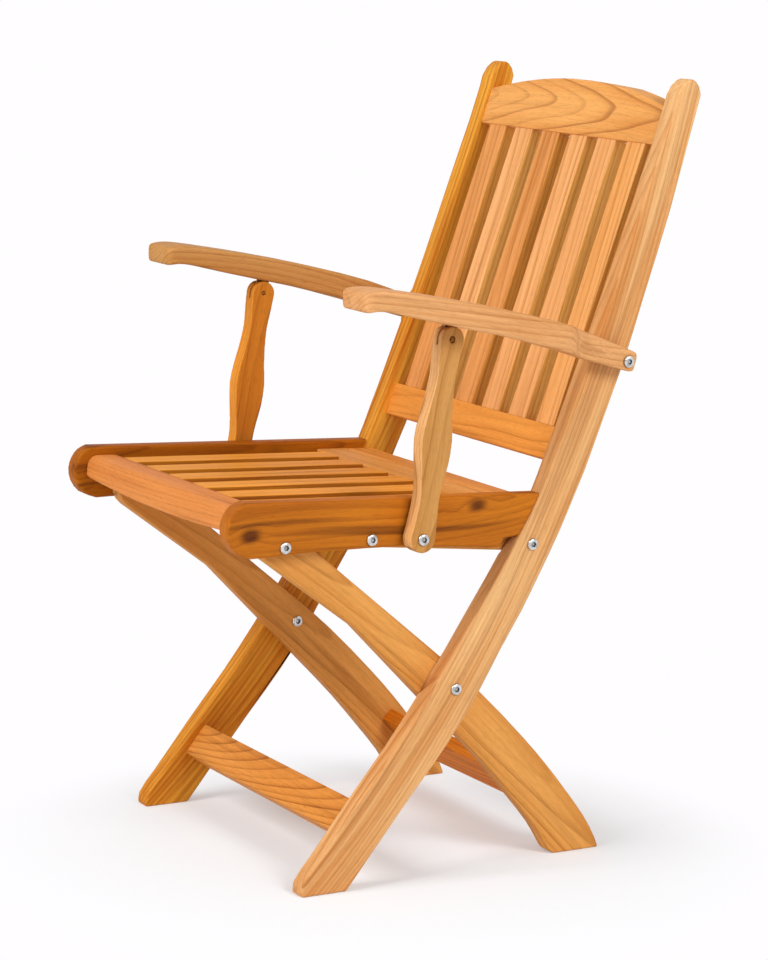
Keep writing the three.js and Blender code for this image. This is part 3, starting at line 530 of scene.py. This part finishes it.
def teak_material(node, tone, seed, rings=0.4, bands=0.6, streaks=0.3, lines=0.2, knots=0.0,
                  clouds=0.6, pith=(0.03, 0.07), ring_width=5, taper=0.03, figure=12,
                  edge=(1, 1, 1)):
    """The teak of one board. Pith is in metres, ring width and figure in millimetres."""
    material, tree, shader = new_material("teak_" + node)
    centre, axes = board_lie(node)
    coordinates = add_node(tree, "ShaderNodeTexCoord").outputs
    mapping = add_node(tree, "ShaderNodeMapping",
                       {"Vector": coordinates["Object"], "Location": centre,
                        "Rotation": axes.to_euler()}, vector_type="TEXTURE")
    wood = tree.nodes.new("ShaderNodeGroup")
    wood.node_tree = teak
    tree.links.new(mapping.outputs[0], wood.inputs["Vector"])
    tree.links.new(coordinates["Normal"], wood.inputs["Normal"])
    for label, colour in TONES[tone].items():
        wood.inputs[label].default_value = paint(colour)
    for label, value in (("Seed", seed), ("Rings", rings), ("Bands", bands), ("Streaks", streaks),
                         ("Pith", (0, *pith)), ("Ring Width", ring_width * MM), ("Taper", taper),
                         ("Figure", figure * MM), ("Lines", lines), ("Knots", knots),
                         ("Clouds", clouds), ("Edge Axis", axes.col[1]), ("Edge Tint", edge),
                         ("Bend Across", board_bend(node, 1)),
                         ("Bend Through", board_bend(node, 2))):
        wood.inputs[label].default_value = value
    bump = add_node(tree, "ShaderNodeBump", {"Height": wood.outputs["Height"],
                                             "Strength": BUMP_STRENGTH,
                                             "Distance": BUMP_HEIGHT * MM})
    tree.links.new(wood.outputs["Color"], shader.inputs["Base Color"])
    tree.links.new(wood.outputs["Roughness"], shader.inputs["Roughness"])
    shader.inputs["Specular IOR Level"].default_value = SPECULAR
    tree.links.new(bump.outputs[0], shader.inputs["Normal"])
    return material


print("bump of the grain:", BUMP_HEIGHT, "mm")

# %% [markdown]
# ## Boards with rounded edges
#
# A sanded board has no sharp edge: each one is rounded by one to three millimetres, and that
# thin bright line along every board is half of what makes wood look made. The solids of the
# frame have the right outlines, tenons and holes, so each board starts as a copy of its solid,
# whose loose triangles are merged and whose flat faces become single faces. Then a bevel
# rounds the edges.
#
# Only the edges in the open are rounded. Where a rail's shoulder stands against a post, or a
# bolt head covers a hole, the joiner leaves the edge sharp. A probe just outside the middle of
# the edge tells which is which: if it lies inside another part, the edge is covered.

# %% Tell open edges from covered ones
solids = {}
for name, node_object in frame["nodes"].items():
    solid_mesh = node_object.data
    corners = [v.co.copy() for v in solid_mesh.vertices]
    faces = [tuple(p.vertices) for p in solid_mesh.polygons]
    solids[name] = (BVHTree.FromPolygons(corners, faces), *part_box(name))

PROBE_REACH = 1.4 * MM
SCAN = Vector((0.31, 0.52, 0.797)).normalized()
PAST_HIT = 1e-6


def inside(name, point):
    """Whether a point lies in a CAD solid, by how often a line from it leaves the solid."""
    tree, low, high = solids[name]
    if any(point[i] < low[i] or point[i] > high[i] for i in range(3)):
        return False
    hits, start = 0, point.copy()
    while True:
        place = tree.ray_cast(start, SCAN)[0]
        if place is None:
            return hits % 2 == 1
        hits += 1
        start = place + SCAN * PAST_HIT


def is_open(name, edge, sharp_angle):
    """Whether an edge is sharp, convex and not covered by another part."""
    if len(edge.link_faces) != 2 or edge.calc_face_angle_signed(0) < sharp_angle:
        return False
    outward = (edge.link_faces[0].normal + edge.link_faces[1].normal).normalized()
    probe = (edge.verts[0].co + edge.verts[1].co) / 2 + outward * PROBE_REACH
    return not any(inside(other, probe) for other in solids if other != name)


print("solids to probe:", len(solids))

# %% [markdown]
# ## From a solid to a finished piece
#
# Every piece goes the same way: a copy of its solid is worked on, becomes an object at the
# origin, rides on the solid's body and hides the solid that it replaces. Smooth shading goes over
# the small faces of a rounded edge, and stops at real corners.
# A bevel wants whole flat faces, so the copy's triangles are joined first.

# %% Copy a solid and finish a piece
FLAT = math.radians(0.6)
MERGE = 0.02


def joined_copy(node):
    """A bmesh of a CAD node with its triangles joined into flat faces."""
    bm = bmesh.new()
    bm.from_mesh(frame["nodes"][node].data)
    bmesh.ops.remove_doubles(bm, verts=bm.verts, dist=MERGE * MM)
    bmesh.ops.dissolve_limit(bm, angle_limit=FLAT, verts=bm.verts, edges=bm.edges,
                             delimit={"NORMAL"})
    bm.normal_update()
    return bm


def finish_piece(bm, name, node, body, material, smooth=40, even_shading=True):
    """Makes an object of a bmesh, in place of its CAD node."""
    mesh = bpy.data.meshes.new(name)
    bm.to_mesh(mesh)
    bm.free()
    mesh.materials.clear()
    mesh.materials.append(material)
    for polygon in mesh.polygons:
        polygon.use_smooth = True
        polygon.material_index = 0
    mesh.set_sharp_from_angle(angle=math.radians(smooth))
    piece = bpy.data.objects.new(name, mesh)
    bpy.context.scene.collection.objects.link(piece)
    if even_shading:
        piece.modifiers.new("even shading", "WEIGHTED_NORMAL").keep_sharp = True
    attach(piece, body)
    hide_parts(node)
    return piece


print("corners merge within", MERGE, "mm")

# %% [markdown]
# ## Rounding
#
# The bevel takes every open edge at once, with three faces to a quarter turn. The back slats
# need one more thing. Their shoulders, the faces round the tenons, stand a hair away from the
# rails in the solids, and the white backdrop would shine through. So they are pushed out a
# little, until the joint is tight.

# %% Round a board
SHARP = math.radians(24)
EDGE_SEGMENTS = 3
SQUARE_TO_GRAIN = 0.99
TENON_LEAST = 3
SHOULDER = 0.2


def close_shoulders(bm, node):
    """Pushes the faces beside the tenons out, so that a glued joint has no gap."""
    centre, axes = board_lie(node)
    along = axes.col[0]
    reach = max(abs(along.dot(vertex.co - centre)) for vertex in bm.verts)
    shoulders = set()
    for face in bm.faces:
        place = abs(along.dot(face.calc_center_median() - centre))
        square = abs(face.normal.dot(along)) > SQUARE_TO_GRAIN
        if square and place < reach - TENON_LEAST * MM:
            shoulders.update(face.verts)
    for vertex in shoulders:
        vertex.co += along * math.copysign(SHOULDER * MM, along.dot(vertex.co - centre))


def rounded_board(node, body, radius, material):
    """A board with its open edges rounded to a radius in millimetres."""
    bm = joined_copy(node)
    if node.startswith("back_slat"):
        close_shoulders(bm, node)
    edges = [edge for edge in bm.edges if is_open(node, edge, SHARP)]
    bmesh.ops.bevel(bm, geom=edges, affect="EDGES", offset=radius * MM, offset_type="OFFSET",
                    segments=EDGE_SEGMENTS, profile=0.5, material=-1, clamp_overlap=False)
    return finish_piece(bm, "teak_" + node, node, body, material), len(edges)


print("edges sharper than", round(math.degrees(SHARP)), "degrees get rounded")

# %% [markdown]
# ## The list of boards
#
# The table says for every board which material slot it fills, how far its edges are rounded
# in millimetres, and what its wood is like. It is sorted by the body that the board moves
# with. Neighbouring slats differ most, as in the real chair, where no two of them came from
# the same plank.

# %% Make every board
SLAT_EDGE = (1.0, 1.05, 0.7)
# painted shade: this tint darkens the seat slats' narrow faces, which lie in the shade of their
# neighbours
GAP_SHADE_TINT = (0.5, 0.4, 0.15)
BOARDS = {
    "back_frame": [
        ("post_left", "honey_teak", 2.5, dict(tone="honey", seed=1, rings=0.35, bands=0.75,
                                              clouds=1.2, pith=(0.09, 0.05))),
        ("post_right", "honey_teak", 2.5, dict(tone="gold", seed=2, bands=0.8, clouds=1.2,
                                               pith=(-0.1, 0.05))),
        ("crest_rail", "honey_teak", 1.6, dict(tone="crest", seed=3, rings=0.22, streaks=0.1,
                                               lines=0.5, pith=(0.0, 0.03), ring_width=12,
                                               taper=0.16, figure=42)),
        ("lower_back_rail", "honey_teak", 2.0, dict(tone="rail", seed=4)),
        ("back_slat_1", "honey_teak", 1.2, dict(tone="umber", seed=5, bands=0.5, edge=SLAT_EDGE)),
        ("back_slat_2", "honey_teak", 1.2, dict(tone="slat", seed=6, rings=0.5, edge=SLAT_EDGE)),
        ("back_slat_3", "honey_teak", 1.2, dict(tone="umber", seed=7, bands=0.8, edge=SLAT_EDGE)),
        ("back_slat_4", "honey_teak", 1.2, dict(tone="slat", seed=8, rings=0.5, edge=SLAT_EDGE)),
        ("back_slat_5", "honey_teak", 1.2, dict(tone="slat", seed=9, streaks=0.5, edge=SLAT_EDGE)),
        ("back_slat_6", "honey_teak", 1.2, dict(tone="sun", seed=10, rings=0.5, edge=SLAT_EDGE)),
        ("front_leg_stretcher", "amber_teak", 2.0, dict(tone="amber", seed=11, rings=0.6, lines=0.5,
                                                        taper=0.1)),
    ],
    "seat": [
        ("seat_rail_left", "dark_teak", 3.5, dict(tone="dark", seed=12, rings=0.25, bands=0.5,
                                                  streaks=0.6, lines=0.1, knots=0.3, clouds=1.5,
                                                  ring_width=4, figure=20)),
        ("seat_rail_right", "dark_teak", 3.5, dict(tone="deep", seed=13, rings=0.25, bands=0.5,
                                                   streaks=0.6, knots=0.3, clouds=1.5,
                                                   ring_width=4, figure=20)),
        ("seat_front_rail", "amber_teak", 2.5, dict(tone="red", seed=14, rings=0.2, lines=0.05)),
        ("seat_rear_board", "amber_teak", 2.0, dict(tone="leg", seed=15)),
        ("seat_cross_rail", "amber_teak", 1.5, dict(tone="amber", seed=16)),
        ("seat_slat_1", "amber_teak", 1.8, dict(tone="seat", seed=17, bands=0.8, edge=GAP_SHADE_TINT)),
        ("seat_slat_2", "amber_teak", 1.8, dict(tone="seat", seed=18, edge=GAP_SHADE_TINT)),
        ("seat_slat_3", "amber_teak", 1.8, dict(tone="seat", seed=19, streaks=0.5, edge=GAP_SHADE_TINT)),
        ("seat_slat_4", "amber_teak", 1.8, dict(tone="seat", seed=20, streaks=0.6, edge=GAP_SHADE_TINT)),
        ("seat_slat_5", "amber_teak", 1.8, dict(tone="seat", seed=21, edge=GAP_SHADE_TINT)),
        ("seat_slat_6", "amber_teak", 1.8, dict(tone="seat", seed=22, bands=0.9, edge=GAP_SHADE_TINT)),
    ],
    "rear_legs": [
        ("rear_leg_left", "amber_teak", 2.5, dict(tone="leg", seed=24)),
        ("rear_leg_right", "amber_teak", 2.5, dict(tone="leg", seed=25)),
        ("rear_leg_stretcher", "amber_teak", 2.0, dict(tone="brown", seed=26, rings=0.6,
                                                       lines=0.4)),
    ],
    "link_left": [("link_left", "amber_teak", 2.0, dict(tone="leg", seed=27))],
    "link_right": [("link_right", "amber_teak", 2.0, dict(tone="leg", seed=28))],
}
for body, boards in BOARDS.items():
    for node, slot, radius, looks in boards:
        piece, count = rounded_board(node, body, radius, teak_material(node, **looks))
        print(f"{piece.name}: {count} edges rounded, {len(piece.data.polygons)} faces")

# %% [markdown]
# ## Boards that are sanded round all over
#
# The arm rests and their supports have no edges left at all: hands and a sanding drum have
# rounded them by six millimetres or more, across curves that are tighter than that. A bevel
# would fold over itself there. So these boards are rebuilt of small even faces, as if cast in
# a grid, and then smoothed. Each pass moves every corner halfway to the middle of its
# neighbours, which leaves flat faces alone and wears the edges down. Faces this small need no
# weighted normals.

# %% Wear the arm rests and their supports round
# painted light: these tints lighten the supports' narrow front and back faces, as if the lamps lit
# them from the front
LIT_EDGE_TINT_LEFT = (1.47, 1.7, 2.6)
LIT_EDGE_TINT_RIGHT = (1.4, 1.5, 1.5)
WORN = [
    ("arm_left", "arm_left", 1.2, 55, dict(tone="pale", seed=29)),
    ("arm_right", "arm_right", 1.2, 55, dict(tone="bronze", seed=30)),
    ("arm_support_left", "support_left", 0.9, 10, dict(tone="tan", seed=31, streaks=0.6,
                                                       edge=LIT_EDGE_TINT_LEFT)),
    ("arm_support_right", "support_right", 0.9, 10, dict(tone="tawny", seed=32, edge=LIT_EDGE_TINT_RIGHT)),
]


def worn_board(node, body, grain, passes, material):
    """A board of even faces of the given size in millimetres, smoothed in some passes."""
    piece = finish_piece(joined_copy(node), "teak_" + node, node, body, material,
                         even_shading=False)
    grid = piece.modifiers.new("even faces", "REMESH")
    grid.mode = "VOXEL"
    grid.voxel_size = grain * MM
    grid.use_smooth_shade = True
    wear = piece.modifiers.new("wear", "SMOOTH")
    wear.factor = 0.5
    wear.iterations = passes
    return piece


for node, body, grain, passes, looks in WORN:
    piece = worn_board(node, body, grain, passes, teak_material(node, **looks))
    print(piece.name, "worn round in", passes, "passes")

# %% [markdown]
# ## Two metals
#
# The bolts are zinc-plated steel: bright, a little cloudy, and with fine marks from the
# turning tool, which come from a stretched noise and make both roughness and bump. A socket
# lies in shadow, and that shade is painted: an attribute called recess marks the corners down
# in the sockets, and the material darkens them nearly to black.
#
# The pins and the tongues under the arms sit in the wood, whose oil has stained them brown.

# %% Bright zinc
TURNING_MARKS = (900.0, 900.0, 2600.0)
ZINC_CLOUDS = (160.0, 160.0, 160.0)
SOCKET_SHADE = 0.93

zinc, tree, shader = new_material("bright_zinc")
place = add_node(tree, "ShaderNodeTexCoord").outputs["Object"]
marks = stretched_noise(tree, place, TURNING_MARKS, detail=3.0).outputs[0]
spots = stretched_noise(tree, place, ZINC_CLOUDS).outputs[0]
colour = mix_colour(tree, ramp(tree, spots, 0.35, 0.7), paint("#D9DADB"), paint("#A9A8A4"))
# painted shade: the socket walls are darkened towards near black, as shade falls in them
recess = add_node(tree, "ShaderNodeAttribute", attribute_name="recess").outputs["Fac"]
colour = mix_colour(tree, calc(tree, "MULTIPLY", recess, SOCKET_SHADE), colour, paint("#17120E"))
rough = calc(tree, "MULTIPLY_ADD", marks, 0.25, 0.16)
bump = add_node(tree, "ShaderNodeBump", {"Height": marks, "Strength": 0.15, "Distance": 0.1 * MM})
tree.links.new(colour, shader.inputs["Base Color"])
tree.links.new(rough, shader.inputs["Roughness"])
tree.links.new(bump.outputs[0], shader.inputs["Normal"])
shader.inputs["Metallic"].default_value = 1.0
print("zinc nodes:", len(tree.nodes))

# %% Stained steel
STAINS = (420.0, 420.0, 420.0)

burnished, tree, shader = new_material("burnished_steel")
place = add_node(tree, "ShaderNodeTexCoord").outputs["Object"]
spots = stretched_noise(tree, place, STAINS).outputs[0]
colour = mix_colour(tree, ramp(tree, spots, 0.35, 0.65), paint("#A8702F"), paint("#6B4015"))
tree.links.new(colour, shader.inputs["Base Color"])
shader.inputs["Metallic"].default_value = 0.85
shader.inputs["Roughness"].default_value = 0.38
print("stained steel nodes:", len(tree.nodes))

# %% [markdown]
# ## Turning the bolts
#
# Every pivot is a sleeve bolt with a low domed head and a hexagon socket, and a sleeve nut with
# such a head on the other side. Turned parts start as half of their outline, which a spin
# takes round the axis. The socket is part of that outline, and its round wall is then drawn in
# to a hexagon.
#
# All fasteners lie along X. Their boxes in the frame say where each one is and how long it is.
# The head of a bolt is on the outer face of its board, and the head of a nut on the inner one,
# so the direction of the head follows from the side of the chair and the kind of the part.

# %% Spin an outline
RIM_STEPS = 48
HEAD_RADIUS = 6.7
HEAD_HEIGHT = 3.0
HEAD_SIDE = 0.42
DOME_STEPS = 5
BROKEN_EDGE = 0.25
NUT_HEIGHT = 2.4
COLLAR_HEIGHT = 3.8
SLEEVE_RADIUS = 4.5
SOCKET_RADIUS = 3.3
SOCKET_RIM = 4.1
SOCKET_DEPTH = 2.0
HEXAGON = 60


def spun(profile):
    """A turned part along +X from an outline of radius and place, in millimetres.

    The corners at the socket's radius are drawn in to a hexagon."""
    bm = bmesh.new()
    corners = [bm.verts.new((place * MM, radius * MM, 0)) for radius, place in profile]
    edges = [bm.edges.new(pair) for pair in zip(corners, corners[1:])]
    bmesh.ops.spin(bm, geom=corners + edges, cent=(0, 0, 0), axis=(1, 0, 0), dvec=(0, 0, 0),
                   angle=2 * math.pi, steps=RIM_STEPS, use_merge=True)
    bmesh.ops.remove_doubles(bm, verts=bm.verts, dist=0.001 * MM)
    recess_mark = bm.verts.layers.float.new("recess")
    top = max(vertex.co.x for vertex in bm.verts)
    for vertex in bm.verts:
        radius = math.hypot(vertex.co.y, vertex.co.z)
        if abs(radius - SOCKET_RADIUS * MM) < 0.01 * MM:
            vertex[recess_mark] = float(vertex.co.x < top - 0.5 * MM)
            angle = math.degrees(math.atan2(vertex.co.z, vertex.co.y)) % HEXAGON - HEXAGON / 2
            factor = math.cos(math.radians(HEXAGON / 2)) / math.cos(math.radians(angle))
            vertex.co.y *= factor
            vertex.co.z *= factor
    bmesh.ops.recalc_face_normals(bm, faces=bm.faces)
    return bm


def dome(start, height):
    """A head's outline: a short side, a low curve in to the rim, then the socket."""
    side = height * HEAD_SIDE
    points = [(HEAD_RADIUS - BROKEN_EDGE, start), (HEAD_RADIUS, start + BROKEN_EDGE),
              (HEAD_RADIUS, start + side)]
    for step in range(1, DOME_STEPS + 1):
        angle = math.radians(90 * step / DOME_STEPS)
        points.append((SOCKET_RIM + (HEAD_RADIUS - SOCKET_RIM) * math.cos(angle),
                       start + side + (height - side) * math.sin(angle)))
    top = start + height
    return points + [(SOCKET_RADIUS, top - 0.1), (SOCKET_RADIUS, top - SOCKET_DEPTH),
                     (0, top - SOCKET_DEPTH + 0.4)]


print("rings of", RIM_STEPS, "corners")

# %% [markdown]
# ## Five kinds from three outlines
#
# An outline is a list of corners, each a radius and a place along the axis in millimetres. A
# bolt and a nut differ only in the height of the head, and the bolt of each arm support has a
# collar at its inner end. The length always comes from the solid.

# %% Outline each kind of fastener
def bolt(length, head=HEAD_HEIGHT, collar=0):
    """A sleeve with a domed head, and with an optional collar at its other end."""
    start = [(0, 0), (SLEEVE_RADIUS, 0)]
    if collar:
        start = [(0, 0), (HEAD_RADIUS, 0), (HEAD_RADIUS, collar), (SLEEVE_RADIUS, collar)]
    return start + [(SLEEVE_RADIUS, length - head)] + dome(length - head, head)


def barrel(length):
    """A plain sleeve with broken edges."""
    return [(0, 0), (SLEEVE_RADIUS - 0.3, 0), (SLEEVE_RADIUS, 0.3), (SLEEVE_RADIUS, length - 0.3),
            (SLEEVE_RADIUS - 0.3, length), (0, length)]


def pin(length):
    """A thin pin whose end is riveted over a washer."""
    return [(0, 0), (2.5, 0), (2.5, length - 2), (4.2, length - 2), (4.2, length - 0.6),
            (3.7, length - 0.4), (3.3, length - 1.5), (2.1, length - 1.5), (2.0, length - 0.4),
            (1.4, length), (0, length)]


def place_fastener(bm, node, body, outward, metal):
    """Turns a fastener to its side of the chair and sets its head where the solid's head is."""
    low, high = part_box(node)
    side = 1 if low.x + high.x > 0 else -1
    facing = side if outward else -side
    if facing < 0:
        bmesh.ops.rotate(bm, verts=bm.verts, cent=(0, 0, 0),
                         matrix=Matrix.Rotation(math.pi, 3, "Z"))
    start = low.x if facing > 0 else high.x
    bmesh.ops.translate(bm, verts=bm.verts,
                        vec=(start, (low.y + high.y) / 2, (low.z + high.z) / 2))
    finish_piece(bm, "metal_" + node, node, body, metal, smooth=35)


print("a bolt of 40 mm has", len(bolt(40)), "points in its outline")

# %% [markdown]
# ## The list of fasteners
#
# The table says for every pair of fasteners which body it moves with, whether its head looks
# outward, and of which kind it is. A name such as link stands for the two bodies link_left and
# link_right.

# %% Make every fastener
KINDS = {"bolt": (bolt, {}, zinc), "nut": (bolt, dict(head=NUT_HEIGHT), zinc),
         "collar": (bolt, dict(collar=COLLAR_HEIGHT), zinc), "barrel": (barrel, {}, zinc),
         "pin": (pin, {}, burnished)}
FASTENERS = {
    "back_frame": [("link_pivot_bolt", True, "bolt"), ("leg_pivot_bolt", True, "bolt"),
                   ("arm_pivot_nut", False, "nut")],
    "seat": [("seat_leg_bolt", True, "bolt"), ("seat_link_bolt", True, "bolt"),
             ("support_barrel_nut", True, "barrel")],
    "rear_legs": [("leg_pivot_nut", False, "nut"), ("seat_leg_nut", False, "nut")],
    "link": [("link_post_nut", False, "nut"), ("link_seat_nut", False, "nut")],
    "arm": [("arm_pivot_bolt", True, "bolt")],
    "support": [("support_bolt", True, "collar"), ("support_pin", True, "pin")],
}
for body, parts in FASTENERS.items():
    for part, outward, kind in parts:
        outline, extras, metal = KINDS[kind]
        for hand in ("left", "right"):
            node = f"{part}_{hand}"
            rider = body if body in frame["bodies"] else f"{body}_{hand}"
            low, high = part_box(node)
            profile = outline((high.x - low.x) / MM, **extras)
            place_fastener(spun(profile), node, rider, outward, metal)
print("fasteners:", 2 * sum(len(parts) for parts in FASTENERS.values()))

# %% [markdown]
# ## The tongues under the arms
#
# A flat steel tongue is let into the underside of each arm rest and carries the upper pin of
# the support. Its edges stay as they were cut.

# %% Make the tongues
for hand in ("left", "right"):
    node = f"arm_bracket_{hand}"
    bm = joined_copy(node)
    finish_piece(bm, "metal_" + node, node, f"arm_{hand}", burnished)
print("tongues:", 2)

# %% [markdown]
# ## White paper
#
# The photograph is a studio picture: the chair stands on white paper with a faint soft shadow,
# and everything behind it is white. The floor is a mix of matt paper, which takes the shadow,
# and plain white. Near the feet most of it is paper. Further out the share of white grows,
# until the floor can't be told from the backdrop. Only rays that come from the camera, or by
# way of a shiny or clear surface, see that white. It lights nothing.

# %% Lay the floor
BACKDROP = (1.0, 0.985, 1.0, 1)
PAPER = (0.89, 0.93, 0.96, 1)
FLOOR_HALF = 30
SHADOW_CENTRE = (0.09, -0.05, 0)
SHADOW_EDGE = (0.24, 0.5)
LEAST_WHITE = 0.24


def seen_by_camera(tree):
    """1 for rays from the camera, directly or by way of a shiny or clear surface."""
    paths = add_node(tree, "ShaderNodeLightPath").outputs
    seen = calc(tree, "ADD", paths["Is Camera Ray"], paths["Is Glossy Ray"])
    return calc(tree, "ADD", seen, paths["Is Transmission Ray"], clamp=True)


floor_bm = bmesh.new()
bmesh.ops.create_grid(floor_bm, x_segments=1, y_segments=1, size=FLOOR_HALF)
floor_mesh = bpy.data.meshes.new("floor")
floor_bm.to_mesh(floor_mesh)
floor_bm.free()
floor = bpy.data.objects.new("floor", floor_mesh)
bpy.context.scene.collection.objects.link(floor)

floor_material, paper, paper_shader = new_material("white_paper")
paper_shader.inputs["Base Color"].default_value = PAPER
paper_shader.inputs["Roughness"].default_value = 0.9
paper_shader.inputs["Specular IOR Level"].default_value = 0.1
seen = seen_by_camera(paper)
white = add_node(paper, "ShaderNodeEmission", {"Color": BACKDROP, "Strength": 1.0})
spot = add_node(paper, "ShaderNodeTexCoord").outputs["Object"]
away = add_node(paper, "ShaderNodeVectorMath", {0: spot, 1: SHADOW_CENTRE},
                operation="DISTANCE").outputs["Value"]
share = calc(paper, "MULTIPLY_ADD", ramp(paper, away, *SHADOW_EDGE), 1 - LEAST_WHITE, LEAST_WHITE)
blend = add_node(paper, "ShaderNodeMixShader", {0: calc(paper, "MULTIPLY", seen, share),
                                                1: paper_shader.outputs[0], 2: white.outputs[0]})
paper_output = [n for n in paper.nodes if n.type == "OUTPUT_MATERIAL"][0]
paper.links.new(blend.outputs[0], paper_output.inputs["Surface"])
floor_mesh.materials.append(floor_material)
print("floor", floor.dimensions[:])

# %% [markdown]
# ## World and lamps
#
# The light is soft and comes from two wide area lamps. The stronger one stands in front of the
# chair, at the left of the picture, and lights the front faces. The other stands beside the
# chair, at the right, and lights the outer faces of the near boards. A dim white world fills
# the shadows. The camera sees the world as plain white, like the far floor.

# %% Light the chair
WORLD_LIGHT = 0.40
LAMP_TARGET = (0, 0, 0.45)
LAMPS = [("front", (0.25, -2.95, 2.55), 1.6, 84), ("side", (3.1, 0.6, 2.3), 1.4, 68)]

world = bpy.data.worlds.new("studio")
bpy.context.scene.world = world
world.use_nodes = True
sky = world.node_tree
sky.nodes.clear()
sky_seen = seen_by_camera(sky)
sky_light = add_node(sky, "ShaderNodeBackground", {"Color": (1, 1, 1, 1), "Strength": WORLD_LIGHT})
sky_white = add_node(sky, "ShaderNodeBackground", {"Color": BACKDROP, "Strength": 1.0})
sky_blend = add_node(sky, "ShaderNodeMixShader", {0: sky_seen, 1: sky_light.outputs[0],
                                                  2: sky_white.outputs[0]})
add_node(sky, "ShaderNodeOutputWorld", {"Surface": sky_blend.outputs[0]})

for name, place, size, power in LAMPS:
    light = bpy.data.lights.new(name, "AREA")
    light.shape = "SQUARE"
    light.size = size
    light.energy = power
    lamp = bpy.data.objects.new(name, light)
    bpy.context.scene.collection.objects.link(lamp)
    aim = (Vector(LAMP_TARGET) - Vector(place)).to_track_quat("-Z", "Y")
    lamp.matrix_world = Matrix.Translation(place) @ aim.to_matrix().to_4x4()
